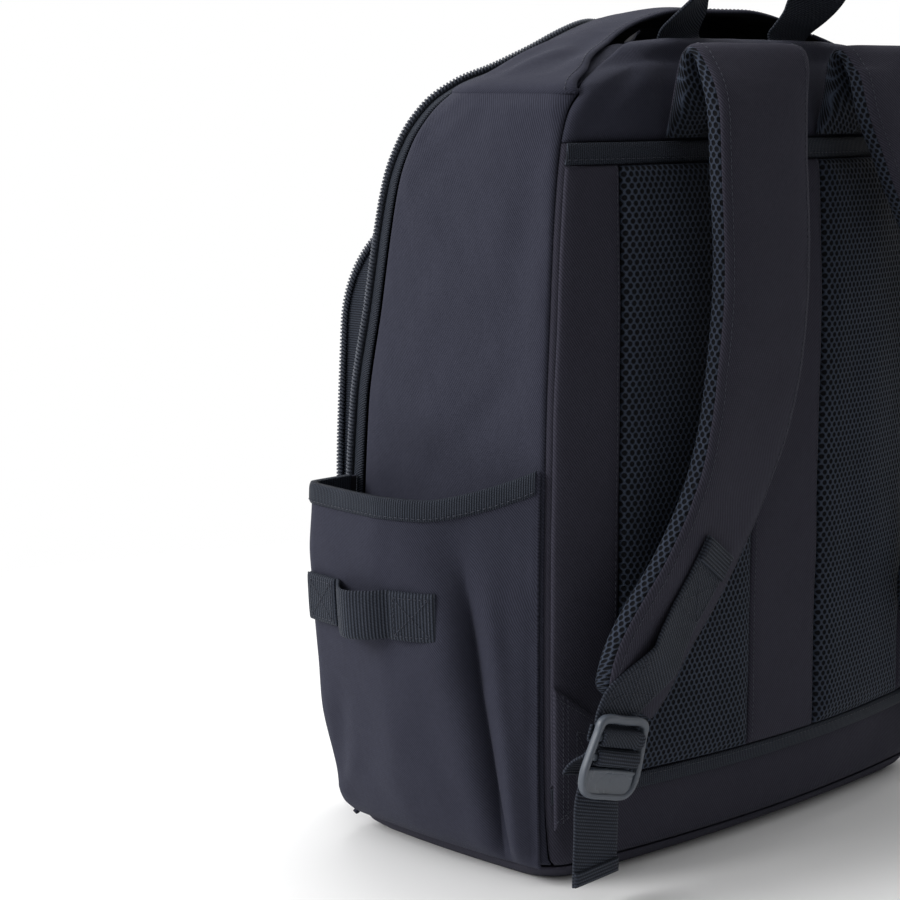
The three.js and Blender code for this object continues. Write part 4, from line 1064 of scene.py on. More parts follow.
def pad(name, node, material, p, n, high, backing):
    """A closed pad from its base grid, which lies on the back, up to high."""
    piece = cloth(name, lapped(p, n, high), high - 0.4, 0.5, 2.0,
        lay=np.stack([lengths(p, 1), lengths(p, 0)], -1))
    return finish_piece(piece, node, [material, backing])


def seam_x(z):
    return wide_at(z) - 1.5


mesh_p, mesh_n = on_back(mesh_outer - 0.3, mesh_inner + 0.3, pad_low, pad_high, 90, 250)
x_, z_ = mesh_p[..., 0], mesh_p[..., 2]
mesh_high = pillow(mesh_p, 1.4, 6.8, 15) + waves(x_, z_, 51, 0.9, 130)
mesh_high = mesh_high + 1.2 * np.exp(-(((x_ - 70) / 22) ** 2)) * ease(z_, 60, 120)
mesh_high = np.maximum(mesh_high, 1.2)
mirrored_high = mesh_high[:, ::-1]
right_pad = pad("mesh_pad_right", "mesh_panel_right", mesh_cloth, mesh_p, mesh_n, mesh_high, lining)
left_p = mirror(mesh_p)
left_pad = pad("mesh_pad_left", "mesh_panel_left", mesh_cloth, left_p, grid_normal(left_p),
    mirrored_high, lining)

spine_p, spine_n = on_back(mesh_inner, -mesh_inner, pad_low, pad_high, 60, 220)
spine_high = pillow(spine_p, 2.4, 4.2, 9) + waves(spine_p[..., 0], spine_p[..., 2], 52, 0.5, 90)
spine_pad = pad("spine_pad", "spine_strip", twill_back, spine_p, spine_n, spine_high, lining)

edge_p, edge_n = on_back(seam_x, mesh_outer, pad_low, pad_high, 40, 220)
edge_high = pillow(edge_p, 1.6, 3.6, 7) + waves(edge_p[..., 0], edge_p[..., 2], 53, 0.5, 80)
edge_pad_r = pad("edge_pad_right", "edge_strip_right", twill_back, edge_p, edge_n, edge_high,
    lining)
edge_left = mirror(edge_p)
edge_pad_l = pad("edge_pad_left", "edge_strip_left", twill_back, edge_left,
    grid_normal(edge_left), edge_high[:, ::-1], lining)

# %% [markdown]
# The woven tapes cover the pads' ends. Their ribs stand up and down, so their UV runs along them.
# %% Tapes above and below the pads


def back_tape(name, node, low_z, high_z, off):
    p, n = on_back(seam_x, lambda z: -seam_x(z), low_z, high_z, 260, 10)
    v = between(-1, 1, 10)[:, None]
    crown = off + 0.5 * (1 - np.abs(v) ** 3)
    lay = np.stack([lengths(p, 0), lengths(p, 1)], -1)
    finish_piece(cloth(name, lapped(p, n, crown + 0 * p[..., 0]), 1.2, 0.2, 1.0, lay=lay), node,
        [tape, lining])
    return p


upper_p = back_tape("upper_band", "upper_tape", yoke_seam - band_wide, yoke_seam, 2.2)
lower_p = back_tape("lower_band", "lower_tape", low_top - 8, low_top, 2.2)
print("pads and tapes are on the back")

# %% [markdown]
# ## The side pockets
# A pocket is wider than the panel behind it, so it stands out, and the spare cloth is folded into
# one deep soft pleat beside the back seam. The first column of its plan is the place along the side
# and the second how far the cloth stands out there; its rise gives the same up the side.
# %% Side pockets
pocket_bulge, pocket_hem, hem_rise, pocket_foot = 35.0, 188.0, 17.0, 10.0
pleat_deep, pleat_wide, pleat_low_y, pleat_high_y, pleat_top = 8.5, 2.9, 49.0, 36.0, 158.0
plan = np.array([(0, 0), (0.004, 0.45), (0.012, 0.84), (0.06, 0.95), (0.16, 0.97), (0.3, 0.99), (0.42, 1),
                 (0.53, 0.92), (0.66, 0.72), (0.76, 0.52), (0.84, 0.34), (0.9, 0.2), (0.95, 0.1), (1, 0)])
rise = np.array([(0, 0), (0.05, 0.28), (0.14, 0.46), (0.3, 0.65), (0.5, 0.83), (0.7, 0.95), (0.85, 1.0),
    (1, 1.0)])


def pocket(u, v):
    """A point of the pocket's inner face: across the side by the plan, up by the rise, and out from
    the side panel by the product of the two."""
    place = u * (len(plan) - 1)
    along, out = (smooth(place, np.arange(len(plan)), plan[:, k]) for k in range(2))
    hem = pocket_hem + hem_rise * np.maximum(0, (along - 0.62) / 0.38) ** 1.5
    z = mix(pocket_foot, hem, v)
    stand = smooth(v, rise[:, 0], rise[:, 1])
    front, back = zip_at(z) + zip_set + 6, seam_y - back_turn - 1.5
    y = mix(front, back, along)
    return np.stack([side_face(y, z) + 0.7 + np.maximum(0, out * pocket_bulge * stand), y, z], -1)


tight = np.concatenate([between(0, 0.22, 40)[:-1], between(0.22, 0.7, 60)[:-1], between(0.7, 1, 90)])
u, v = np.meshgrid(tight, np.concatenate([between(0, 0.12, 26)[:-1], between(0.12, 1, 130)]))
pocket_grid = pocket(u, v)
pocket_n = grid_normal(pocket_grid)
y_, z_ = pocket_grid[..., 1], pocket_grid[..., 2]
calm = ease(u, 0.02, 0.14) * ease(-u, -1, -0.93) * ease(v, 0, 0.06) * ease(-v, -1.02, -0.9)
calm = calm * (1 - 0.85 * np.exp(-(((z_ - 132) / 17) ** 4) - ((y_ + 20) / 46) ** 4))
puckers = waves(y_, z_, 61, 0.9, 85) + crease(y_, z_, (-60, 26), (-38, 92), 7, -2.2) + crease(y_, z_,
    (-70, 10), (-30, 60), 6, 1.4)
puckers = puckers + crease(y_, z_, (30, 190), (46, 96), 9, -2.6) + crease(y_, z_, (14, 170), (34, 40),
    12, 2.0)
puckers = puckers + crease(y_, z_, (58, 150), (60, 20), 6, 1.6) + crease(y_, z_, (-20, 20), (20, 120),
    12, 1.2)
pleat_at = mix(pleat_high_y, pleat_low_y, (pleat_top - z_) / 150) - y_
pleat_on = ease(-z_, -168, -118) * ease(z_, 8, 22)
valley = -pleat_deep * np.exp(-((np.abs(pleat_at) / pleat_wide) ** 1.2)) + 4.2 * np.exp(-(((pleat_at
    + 9.5) / 6) ** 2)) + 2.2 * np.exp(-(((pleat_at - 10) / 9) ** 2))
pocket_cloth_grid = lapped(pocket_grid, pocket_n, 2.0 + puckers * calm
    + valley * pleat_on * ease(-u, -1, -0.95))
least = side_face(pocket_cloth_grid[..., 1], pocket_cloth_grid[..., 2]) + 2.8
pocket_cloth_grid[..., 0] = least + np.maximum(pocket_cloth_grid[..., 0] - least, 0)
for side in ("right", "left"):
    grid = pocket_cloth_grid if side == "right" else mirror(pocket_cloth_grid)
    piece = cloth(f"pocket_cloth_{side}", grid, 2.0, 0.6, 3)
    finish_piece(piece, f"side_pocket_{side}", [twill_side, lining])

# %% [markdown]
# The hem is bound with ribbed tape folded over it, and on one pocket a short webbing loop holds a
# tool: it is sewn flat at both its ends and stands off in the middle.
# %% Hem tape and tool loop
hem_foot = 1 - 9.5 / (pocket_hem - pocket_foot)
u, v = np.meshgrid(between(0.03, 0.985, 200), between(0, 1, 14))
hem_rows = mix(hem_foot, 1.004, v)
hem_p = pocket(u, hem_rows)
hem_n = grid_normal(hem_p)
hem_grid = lapped(hem_p, hem_n, 2.6 + 0.75 * (1 - np.abs(v * 2 - 1) ** 4))
inner_p = lapped(hem_p, hem_n, -1.0)
fold_ring = np.concatenate([hem_grid, inner_p[::-1]]).transpose(1, 0, 2)
hem_lay = np.stack(np.broadcast_arrays(np.arange(28)[None, :] * 0.75, lengths(fold_ring, 0)[:, :1]), -1)
for side in ("right", "left"):
    ring = fold_ring if side == "right" else fold_ring[::-1] * np.array([-1.0, 1, 1])
    lay = hem_lay if side == "right" else hem_lay[::-1]
    finish_piece(tube(f"hem_tape_{side}", ring[:, ::-1], lay[:, ::-1]), f"pocket_binding_{side}",
        [tape])

loop_long, loop_wide, loop_stand, loop_z = 81.0, 24.0, 10.5, 132.0
u, v = np.meshgrid(between(0, 1, 120), between(0, 1, 22))
loop_start = zip_at(loop_z) + zip_set + 6 + 6
loop_y = loop_start + loop_long * u
loop_zz = loop_z + loop_wide * (v - 0.5)
place_u = np.interp(loop_y.ravel(),
    pocket(between(0.2, 1, 400), np.full(400, (loop_z - pocket_foot) / 178))[:, 1],
        between(0.2, 1, 400)).reshape(u.shape)
loop_p = pocket(place_u, (loop_zz - pocket_foot) / (pocket_hem - pocket_foot))
loop_n = grid_normal(loop_p)
free = np.clip((u - 0.285) / 0.43, 0, 1)
lift = 3.9 + loop_stand * np.sin(np.pi * free) ** 1.15 + 0.35 * (1 - np.abs(v * 2 - 1) ** 6)
loop_grid = lapped(loop_p, loop_n, lift)
loop_lay = np.stack([lengths(loop_grid, 0), lengths(loop_grid, 1)], -1)
loop_piece = cloth("tool_loop_web", loop_grid, 1.5, 0.3, 1.2, lay=loop_lay)
finish_piece(loop_piece, "tool_loop", [webbing, webbing])
for k, (low_u, high_u) in enumerate(((0.0, 0.27), (0.73, 1.0))):
    u, v = np.meshgrid(between(low_u, high_u, 34), between(0, 1, 22))
    place = (v * 21, u * 119)
    tab = lapped(on_grid(loop_p, *place), on_grid(loop_n, *place), 5.4
        + 0.25 * (1 - np.abs(v * 2 - 1) ** 6))
    lay = np.stack([lengths(tab, 0), lengths(tab, 1)], -1)
    finish_piece(cloth(f"tool_loop_tab_{k}", tab, 1.5, 0.5, 1.5, lay=lay), None,
        [webbing, webbing])
    sew_box("loop_stitches", tab, (2.2, 18.8), (4, 29), **box_thread)
print("side pockets, hems and the tool loop are made")

# %% [markdown]
# ## The front pocket
# The front pocket is a domed tray whose wall stands forward of the bag. Its zip is open above
# mid-height, so the wall ends there in a free edge. One profile, from the dome's middle out to that
# edge and back inside, is carried round the pocket's rounded outline.
# %% Front pocket
tray_half, tray_foot, tray_top, tray_deep, tray_dome = 133.0, 11.0, 317.9, 31.0, 6.0
slot_low, slot_wide, dome_inset, dome_middle = 140.0, 15.0, 54.5, np.array([0, 165.0])


def tray_ring(inset, count=300):
    """The pocket's outline in x and z: a rectangle with large round corners above and smaller ones
    below, drawn inset from its edge, with its points evenly spaced from the foot's middle."""
    wide, low, high = tray_half - inset, tray_foot + inset, tray_top - inset
    turn = between(0, np.pi / 2, 24)
    arcs = []
    for side, up, r, start in ((1, -1, 26, -0.5), (1, 1, 58, 0), (-1, 1, 58, 0.5), (-1, -1, 26, 1)):
        middle = (side * (wide - r), (high if up > 0 else low) - up * r)
        arcs.append(np.stack([middle[0] + r * np.cos(turn + start * np.pi), middle[1]
            + r * np.sin(turn + start * np.pi)], -1))
    foot = np.array([[0, low]])
    return resample(np.concatenate([foot, *arcs, foot]), count=count + 1)[:-1]


def tray_lean(z):
    return 0.35 * (front_at(z) - front_at(tray_foot))


tray_back = front_at(np.array(tray_foot))
rows = []
for inset, out in ((132, 1), (118, 1), (100, 1.0), (80, 0.97), (54.5, 0.93), (34, 0.8), (20, 0.62),
    (12, 0.45), (7, 0.28), (4, 0.12), (2, -0.08), (0.8, -0.32), (0, -0.7)):
    ring = tray_ring(min(inset, dome_inset))
    if inset > dome_inset:
        # Past this inset the corners no longer fit, so the ring only shrinks towards its middle.
        ring = dome_middle + (ring - dome_middle) * (132.6 - inset) / (132.6 - dome_inset)
    rows.append(np.stack([ring[:, 0], tray_back - tray_deep - tray_dome * out + tray_lean(ring[:, 1]),
        ring[:, 1]], -1))
rim = tray_ring(0)
opened = ease(rim[:, 1], slot_low - 16, slot_low + 12)
edge_closed = front_at(rim[:, 1]) + 1.0
edge_open = tray_back - slot_wide - 1 + tray_lean(rim[:, 1])
edge_now = mix(edge_closed, edge_open, opened)
start_now = rows[-1][:, 1]
for share in between(0.08, 1, 16):
    rows.append(np.stack([rim[:, 0], mix(start_now, edge_now, share), rim[:, 1]], -1))
outside_rows = np.stack(rows)
outline_n = unit(np.stack([rim[:, 0] / tray_half, rim[:, 1] * 0, (rim[:, 1] - 165) / 165], -1))
bow = waves(rim[:, 1], rim[:, 0], 71, 1.2, 140)
outside_rows = outside_rows + outline_n * (bow * np.clip(np.arange(len(rows)) / len(rows) * 2 - 0.6, 0,
    1)[:, None] * 0.8)[..., None]
tray_n = unit(np.cross(np.roll(outside_rows, -1, 1) - np.roll(outside_rows, 1, 1),
    np.gradient(outside_rows, axis=0)))
if tray_n[0, 0, 1] > 0:
    tray_n = -tray_n
full = waves(outside_rows[..., 0], outside_rows[..., 2], 72, 2.0, 170) * np.clip(1
    - np.arange(len(rows)) / 12, 0, 1)[:, None]
outside_rows = outside_rows + tray_n * full[..., None]
inside_rows = (outside_rows - tray_n * 2.0)[::-1]
edge_row = (outside_rows[-1:] + inside_rows[:1]) / 2 + unit(outside_rows[-1:] - outside_rows[-2:-1]) * 0.5
stack = np.concatenate([outside_rows, edge_row, inside_rows])
tray_lay = stack[..., [0, 2]] + np.stack([stack[..., 0] * 0,
    np.sign(stack[..., 2] - 165) * (stack[..., 1] - tray_back)], -1)
front_tray = tube("front_pocket_cloth", stack, tray_lay, inside_from=len(rows))
finish_piece(front_tray, "front_pocket", [twill_side, lining])

# %% The open zip round the front pocket
open_part = np.arange(300)[rim[:, 1] > slot_low - 6]
edge_line = outside_rows[-1][open_part]
edge_out = outline_n[open_part]
towards_bag = np.array([0, 1.0, 0])
half_tape = np.stack([edge_line + edge_out * 0.7 + towards_bag * s for s in between(-9.5, 3.6, 10)], 1)
if (grid_normal(half_tape)[50, 4] * edge_out[50]).sum() < 0:
    half_tape = half_tape[:, ::-1]
finish_piece(cloth("pocket_zip_tape", half_tape, 0.9, 0.1, 0.8), None, [tape, tape])
coil_path = resample(edge_line + edge_out * 2.3 - towards_bag * 8.6, step=2.0)
coil_out = unit(resample(edge_out, count=len(coil_path)))
wound(coil_path, coil_out, unit(np.cross(np.gradient(coil_path, axis=0), coil_out)), 1.7, 0.6, 1.9,
    "pocket_zip_coil_front", None)
coil_side = unit(np.cross(np.gradient(coil_path, axis=0), coil_out))
core_cord("pocket_zip_cord", coil_path, coil_out, coil_side, 1.6, 1.3, 0.5)
bag_line = np.stack([rim[open_part, 0] * 0.995, front_at(rim[open_part, 1]) + 0.2, rim[open_part, 1]], -1)
bag_line = onto_form(bag_line, rounds=5)
bag_n = form_normal(bag_line)
along = unit(np.gradient(bag_line, axis=0))
in_out = unit(np.cross(along, bag_n))
bag_tape = np.stack([bag_line + bag_n * 0.5 + in_out * s for s in between(-5, 5, 8)], 1)
if (grid_normal(bag_tape)[50, 4] * bag_n[50]).sum() < 0:
    bag_tape = bag_tape[:, ::-1]
finish_piece(cloth("pocket_zip_tape_back", lapped(bag_tape, grid_normal(bag_tape), 0.6), 0.9, 0.1, 0.8),
    None, [tape, tape])
back_coil = resample(bag_line + bag_n * 2.2, step=2.0)
back_coil_n = unit(resample(bag_n, count=len(back_coil)))
wound(back_coil, back_coil_n, unit(np.cross(np.gradient(back_coil, axis=0), back_coil_n)), 1.5, 0.5,
    1.9, "pocket_zip_coil_back", None)
print("front pocket:", outside_rows.shape)

# %% [markdown]
# ## The shoulder straps
# A strap is a foam pad that is folded over at the shoulder. Its middle line is a smooth curve through
# a few known places, and a soft flat oval is carried along it. Mesh covers its underside and edges,
# and a cloth face is sewn over the top.
# %% The straps' middle lines
strap_x, strap_swing, strap_reach, strap_end_z, strap_thick = 58.0, 72.0, 27.0, 92.0, 11.0
strap_over, strap_under, strap_end_round = 4.3, 8.4, 0.012
strap_top = 0.9388 * body_high
strap_root_y = float(back_face(np.array(strap_x), np.array(yoke_seam))) + strap_thick / 2 + 2
over_shoulder = [(0, -0.2, 0.127), (0, -0.17, 0.115), (0, -0.03, 0.085), (0, 0.17, 0.05),
    (0, 0.37, 0.018), (0, 0.53, -0.003),
                 (0, 0.66, -0.009), (0, 0.79, -0.003), (0, 0.92, 0.022), (0, 1.01, 0.07)]
hanging = over_shoulder + [(-0.01, 1.06, 0.17), (-0.06, 1.06, 0.31), (-0.06, 1.0, 0.44), (0.02, 0.9, 0.58),
                           (0.2, 0.72, 0.71), (0.45, 0.6, 0.81), (0.76, 0.47, 0.905), (1.0, 0.37, 1.0)]
spread = over_shoulder + [(0.08, 1.05, 0.105), (0.25, 1.07, 0.165), (0.47, 1.06, 0.23),
    (0.76, 1.0, 0.32), (0.93, 0.94, 0.43),
                          (1.04, 0.85, 0.56), (1.09, 0.72, 0.68), (1.08, 0.58, 0.8), (1.05, 0.45, 0.91),
                              (1.0, 0.37, 1.0)]


def flowing(points, count):
    """A centripetal Catmull-Rom curve through points, then spaced evenly: between two points it is
    the cubic whose end slopes are those of the parabola through each point and its neighbours, with
    knots that grow as the square root of the distance."""
    p = np.asarray(points, float)
    p = np.concatenate([[2 * p[0] - p[1]], p, [2 * p[-1] - p[-2]]])
    gap = np.maximum(np.linalg.norm(np.diff(p, axis=0), axis=-1) ** 0.5, 1e-4)[:, None]
    rate = np.diff(p, axis=0) / gap
    slope = rate[:-1] - (p[2:] - p[:-2]) / (gap[:-1] + gap[1:]) + rate[1:]
    t = between(0, 1, 60)[:-1, None, None]
    a, b, h = p[1:-2], p[2:-1], gap[1:-1]
    lines = (1 + 2 * t) * (1 - t) ** 2 * a + t * (1 - t) ** 2 * h * slope[:-1]
    lines = lines + t * t * (3 - 2 * t) * b + t * t * (t - 1) * h * slope[1:]
    fine = np.concatenate([lines.transpose(1, 0, 2).reshape(-1, p.shape[1]), p[-2:-1]])
    run = np.concatenate([[0], np.cumsum(np.linalg.norm(np.diff(fine[:, :3], axis=0), axis=-1))])
    at = between(0, run[-1], count)
    return np.stack([np.interp(at, run, fine[:, k]) for k in range(p.shape[1])], -1)


def strap_stations(route, skew, count=420):
    """For each station along a strap: its place, the way across, the way out of its face and how
    wide it is."""
    x, y, z = np.array(route, float).T
    drop = strap_top - strap_end_z
    at = flowing(np.stack([strap_x + x * strap_swing, strap_root_y + y * strap_reach, strap_top
        - z * drop], -1), count)
    run = unit(np.gradient(at, axis=0))
    across = np.array([1.0, 0, 0]) - run * run[:, :1]
    share = between(0, 1, count)
    across = unit(across)
    out = np.cross(across, run)
    twist = (np.radians(10) * ease(share, 0.5, 0.8))[:, None]
    across, out = across * np.cos(twist) + out * np.sin(twist), out * np.cos(twist) - across * np.sin(twist)
    crest = np.exp(-(((share - share[np.argmax(at[:, 2])]) / 0.055) ** 2))
    across = across + np.array([0, skew, 0]) * crest[:, None]
    wide = mix(61, 68, ease(share, 0, 0.12)) - 18 * np.maximum(0, (share - 0.93) / 0.07) ** 2
    return at, across, out, wide, share


# %% Pads and faces of the straps
def strap(side, route):
    """One strap: the pad's ring is a flat superellipse of power 3.4, from 8.4 mm under its middle
    line to 4.3 mm over it, and the face is a cloth over its upper part with sewn edges."""
    flip = np.array([1.0 if side == "right" else -1.0, 1, 1])
    at, across, out, wide, share = strap_stations(route, -0.2 if side == "right" else 0.26)
    run = share * np.linalg.norm(np.diff(at, axis=0), axis=-1).sum()
    crest = run[np.argmax(at[:, 2])]
    soft = (1 - 0.6 * np.exp(-(((run - crest) / 13) ** 2))) * mix(0.45, 1, ease(run, 2, 26))
    turn = -np.linspace(0, 2 * np.pi, 65)[:-1] - np.pi / 2
    power = 2 / 3.4
    a = np.sign(np.cos(turn)) * np.abs(np.cos(turn)) ** power
    b = np.sign(np.sin(turn)) * np.abs(np.sin(turn)) ** power
    near_end = np.minimum(share, 1 - share) / strap_end_round
    rounded = np.sqrt(np.maximum(1 - (1 - near_end) ** 2, 0))
    ends = np.where(near_end < 1, np.maximum(rounded, 0.3), 1)
    high, low = strap_over * ends * soft, -strap_under * ends * soft
    middle, reach = (high + low) / 2, (high - low) / 2
    skin = at[:, None] + across[:, None] * (a[None] * (wide / 2 - 0.5)[:, None])[..., None]
    skin = skin + out[:, None] * (middle[:, None] + b[None] * reach[:, None])[..., None]
    if side == "left":
        skin = (skin * flip)[:, ::-1]
    pad_piece = finish_piece(tube(f"strap_pad_{side}", skin), f"strap_lining_{side}", [mesh_cloth])
    keep = (share > 0.004) & (share < 0.997)
    at, across, out = at[keep], across[keep], out[keep]
    wide, soft, share = wide[keep], soft[keep], share[keep]
    s = between(-1, 1, 61)[None]
    w = (wide / 2 - 1.6)[:, None]
    crown = (5.5 - 2.4 * np.abs(s) ** 4.5) * soft[:, None] + 0.9 * (1 - soft[:, None])
    lumps = waves(s * w, share[:, None] * 420, 81 if side == "right" else 82, 0.9, 95) * (1 - s**8)
    lumps = lumps + waves(s * w * 0.3, share[:, None] * 420, 83, 0.5, 34) * (1 - s**6)
    lumps = lumps * (1 - 0.85 * ease(share, 0.72, 0.77))[:, None]
    face = at[:, None] + across[:, None] * (s * w)[..., None] + out[:, None] * (crown
        + lumps * 0.8 * soft[:, None])[..., None]
    if side == "left":
        face = (face * flip)[:, ::-1]
    face_piece = cloth(f"strap_face_{side}", face, 1.5, 0.9, 4.0)
    finish_piece(face_piece, f"shoulder_strap_{side}", [twill_back, lining])
    for col in (4, 56):
        sew_on("strap_stitches", face, col=col, pitch=3.1, long=2.2)
    return at, across, out, wide, share


right_route = strap("right", hanging)
left_route = strap("left", spread)
print("straps:", len(hanging), "and", len(spread), "places")

# %% [markdown]
# ## Webbing
# Webbing keeps its width and thickness wherever it goes, so each run is only a line of places with a
# way across. The ribbon helper smooths the line, and thickens it with rounded edges.
# %% The ribbon helper


def ribbon(name, stations, wide=30.0, thick=1.6, flip=False, count=None, power=8, lift=0.0):
    """A band of webbing through stations, each a place and a way across. Its face is the middle line
    moved out by half its thickness, a little thinner towards its two edges."""
    rows = np.array([np.concatenate([at, way]) for at, way in stations], float)
    long = np.linalg.norm(np.diff(rows[:, :3], axis=0), axis=-1).sum()
    line = flowing(rows, count or int(long / 0.9) + 2)
    at, way = line[:, :3], unit(line[:, 3:])
    run = unit(np.gradient(at, axis=0))
    way = unit(way - run * (way * run).sum(-1, keepdims=True))
    out = np.cross(way, run)
    s = between(-1, 1, 25)[None]
    crown = thick / 2 + lift - 0.22 * np.abs(s) ** power
    p = at[:, None] + way[:, None] * (s * wide / 2)[..., None] + out[:, None] * crown[..., None]
    if flip:
        p = (p * np.array([-1.0, 1, 1]))[:, ::-1]
    return cloth(name, p, thick, 0.25, 1.0), p


# %% [markdown]
# ## Buckles
# A ladder buckle is a moulded frame with two bars that webbing turns over and a dished plate below
# them. The frame and the bars are round-edged tubes, and the plate is a grid that dips in its middle.
# %% The buckle's own directions
buckle_swing, buckle_tip = -0.26, 0.1
buckle_at = np.array([strap_x + strap_swing + 17, seam_y + 37, 72.6])
buckle_up = unit(np.array([np.sin(buckle_swing), np.sin(buckle_tip), np.cos(buckle_swing)]))
buckle_across = unit(np.array([1.0, 0, 0]) - buckle_up * buckle_up[0])
buckle_out = -np.cross(buckle_across, buckle_up)
if buckle_out[1] < 0:
    buckle_out = -buckle_out
tall, broad, first_bar, second_bar, plate_top = 41.0, 40.0, 9.6, 0.2, -6.2


def on_buckle(up, out=0.0, across=0.0):
    """A place on the buckle, from heights, depths and distances across in its own directions."""
    up, out, across = np.broadcast_arrays(np.asarray(up, float), out, across)
    return buckle_at + up[..., None] * buckle_up + out[..., None] * buckle_out + across[...,
        None] * buckle_across


def buckle(side):
    """The frame: an oval of power 3 carried round a rounded outline that narrows downwards. The
    bars: the same oval carried straight across. The plate: a grid dished by a cosine."""
    flip = np.array([1.0 if side == "right" else -1.0, 1, 1])
    order = 1 if side == "right" else -1
    h, w = tall / 2 - 2.0, broad / 2 - 1.9
    key = [(0, h), (w - 6, h), (w - 2.4, h - 1.6), (w - 1.2, h - 7), (w + 0.5, 0), (w + 1.2, -h + 10),
        (w - 0.2, -h + 4.5), (w - 4, -h + 0.9), (w - 9, -h), (0, -h)]
    half = np.array(key, float)
    loop = np.concatenate([half, (half * [-1, 1])[::-1][1:-1]])
    loop = np.concatenate([loop[-3:], loop, loop[:4]])
    line = flowing(loop, 800)
    start = np.argmin(np.abs(line - half[0]).sum(-1)[:400])
    stop = 400 + np.argmin(np.abs(line - half[0]).sum(-1)[400:])
    line = resample(line[start : stop + 1], count=161)[:-1]
    way = unit(np.roll(line, -1, 0) - np.roll(line, 1, 0))
    normal = np.stack([way[:, 1], -way[:, 0]], -1)
    turn = np.linspace(0, 2 * np.pi, 21)[:-1]
    a = np.sign(np.cos(turn)) * np.abs(np.cos(turn)) ** 0.7
    b = np.sign(np.sin(turn)) * np.abs(np.sin(turn)) ** 0.7
    thin = 1.5 + 0.7 * ease(line[:, 1], 10, 19)
    flat_at = line[:, None] + normal[:, None] * (a[None] * thin[:, None])[..., None]
    skin = on_buckle(flat_at[..., 1], np.broadcast_to(b * 2.1, flat_at.shape[:2]), flat_at[..., 0])
    frame_skin = (skin * flip)[:, ::-order]
    finish_piece(tube(f"buckle_frame_{side}", frame_skin, closed_path=True), f"strap_buckle_{side}",
        [buckle_plastic])
    for k, up in enumerate((first_bar, second_bar)):
        x = between(-w, w, 24)
        bar = on_buckle(up + 1.9 * a[None] + 0 * x[:, None], 1.9 * b[None] + 0 * x[:, None], x[:, None]
            + 0 * a[None])
        finish_piece(tube(f"buckle_bar_{k}_{side}", (bar * flip)[:, ::order]), None,
            [buckle_plastic])
    u, v = np.meshgrid(between(-1, 1, 41), between(0, 1, 31))
    wide_here = np.interp(mix(-h, plate_top, v), half[::-1, 1], half[::-1, 0]) - 0.6
    wide_here = np.minimum(wide_here, w - 1.2)
    dish = 1.2 - 1.5 * np.cos(u * np.pi / 2) ** 0.8 * np.sin(np.pi * np.clip(v * 0.92 + 0.06, 0,
        1)) ** 0.8 + 0.7 * ease(v, 0.86, 1)
    plate = on_buckle(mix(-h, plate_top, v), dish, u * wide_here)
    plate = plate * flip
    if side == "left":
        plate = plate[:, ::-1]
    if grid_normal(plate)[15, 20] @ (buckle_out * flip) < 0:
        plate = plate[:, ::-1]
    finish_piece(cloth(f"buckle_plate_{side}", plate, 2.6, 0.5, 1.2), None,
        [buckle_gloss, buckle_plastic])


buckle_gloss = plastic("buckle_gloss", (0.055, 0.066, 0.085), (0.085, 0.1, 0.125), 0.26)
buckle("right")
buckle("left")

# %% Webbing on the straps and through the buckles
clear_bar = 1.2


def over_bar(bar):
    """Places round the front of a bar, from behind above it to behind below it."""
    up, out, soft = 2 + clear_bar, 2 + clear_bar, 1.2
    return [(bar + up, -out), (bar + up, out - soft), (bar + up - soft, out), (bar - up + soft, out),
        (bar - up, out - soft), (bar - up, -out)]


def strap_web(side, route):
    """The webbing sewn down a strap, on over the first bar and back up behind itself."""
    at, across, out, wide, share = route
    pick = np.linspace(np.searchsorted(share, 0.762), np.searchsorted(share, 0.925), 9).astype(int)
    high = 5.5 + 1.1 + 0.8 + 3 * ease(share[pick], 0.84, 0.94)
    sewn = [(at[i] + out[i] * h, across[i]) for i, h in zip(pick, high)]
    behind = -3.2
    down = [(on_buckle(24.3, behind - 0.6), buckle_across), (on_buckle(14.7, behind), buckle_across)]
    turn = [(on_buckle(u, o), buckle_across) for u, o in over_bar(first_bar)[1:]]
    back = [(on_buckle(6.2, behind - 3), buckle_across), (on_buckle(13.6, behind - 3.6), buckle_across)]
    piece, p = ribbon(f"strap_web_{side}", sewn + down + turn + back, flip=side == "left", count=260)
    finish_piece(piece, f"strap_webbing_{side}", [webbing, webbing])
    step = np.linalg.norm(p[1, 12] - p[0, 12])
    folded = int(13 / step)
    tab = lapped(p[: folded + 1], grid_normal(p[: folded + 1]), 1.5)
    finish_piece(cloth(f"strap_web_tab_{side}", tab, 1.5, 0.6, 1.8), None, [webbing, webbing])
    sew_box("web_stitches", tab, (2.5 / step, folded - 2 / step), (2, 22), cross=False, **box_thread)
    sew_box("web_stitches", p, (folded + 2.5 / step, 36 / step), (2, 22), **box_thread)
    sew_box("web_stitches", p, (74 / step, 99 / step), (2, 22), **box_thread)
    return p


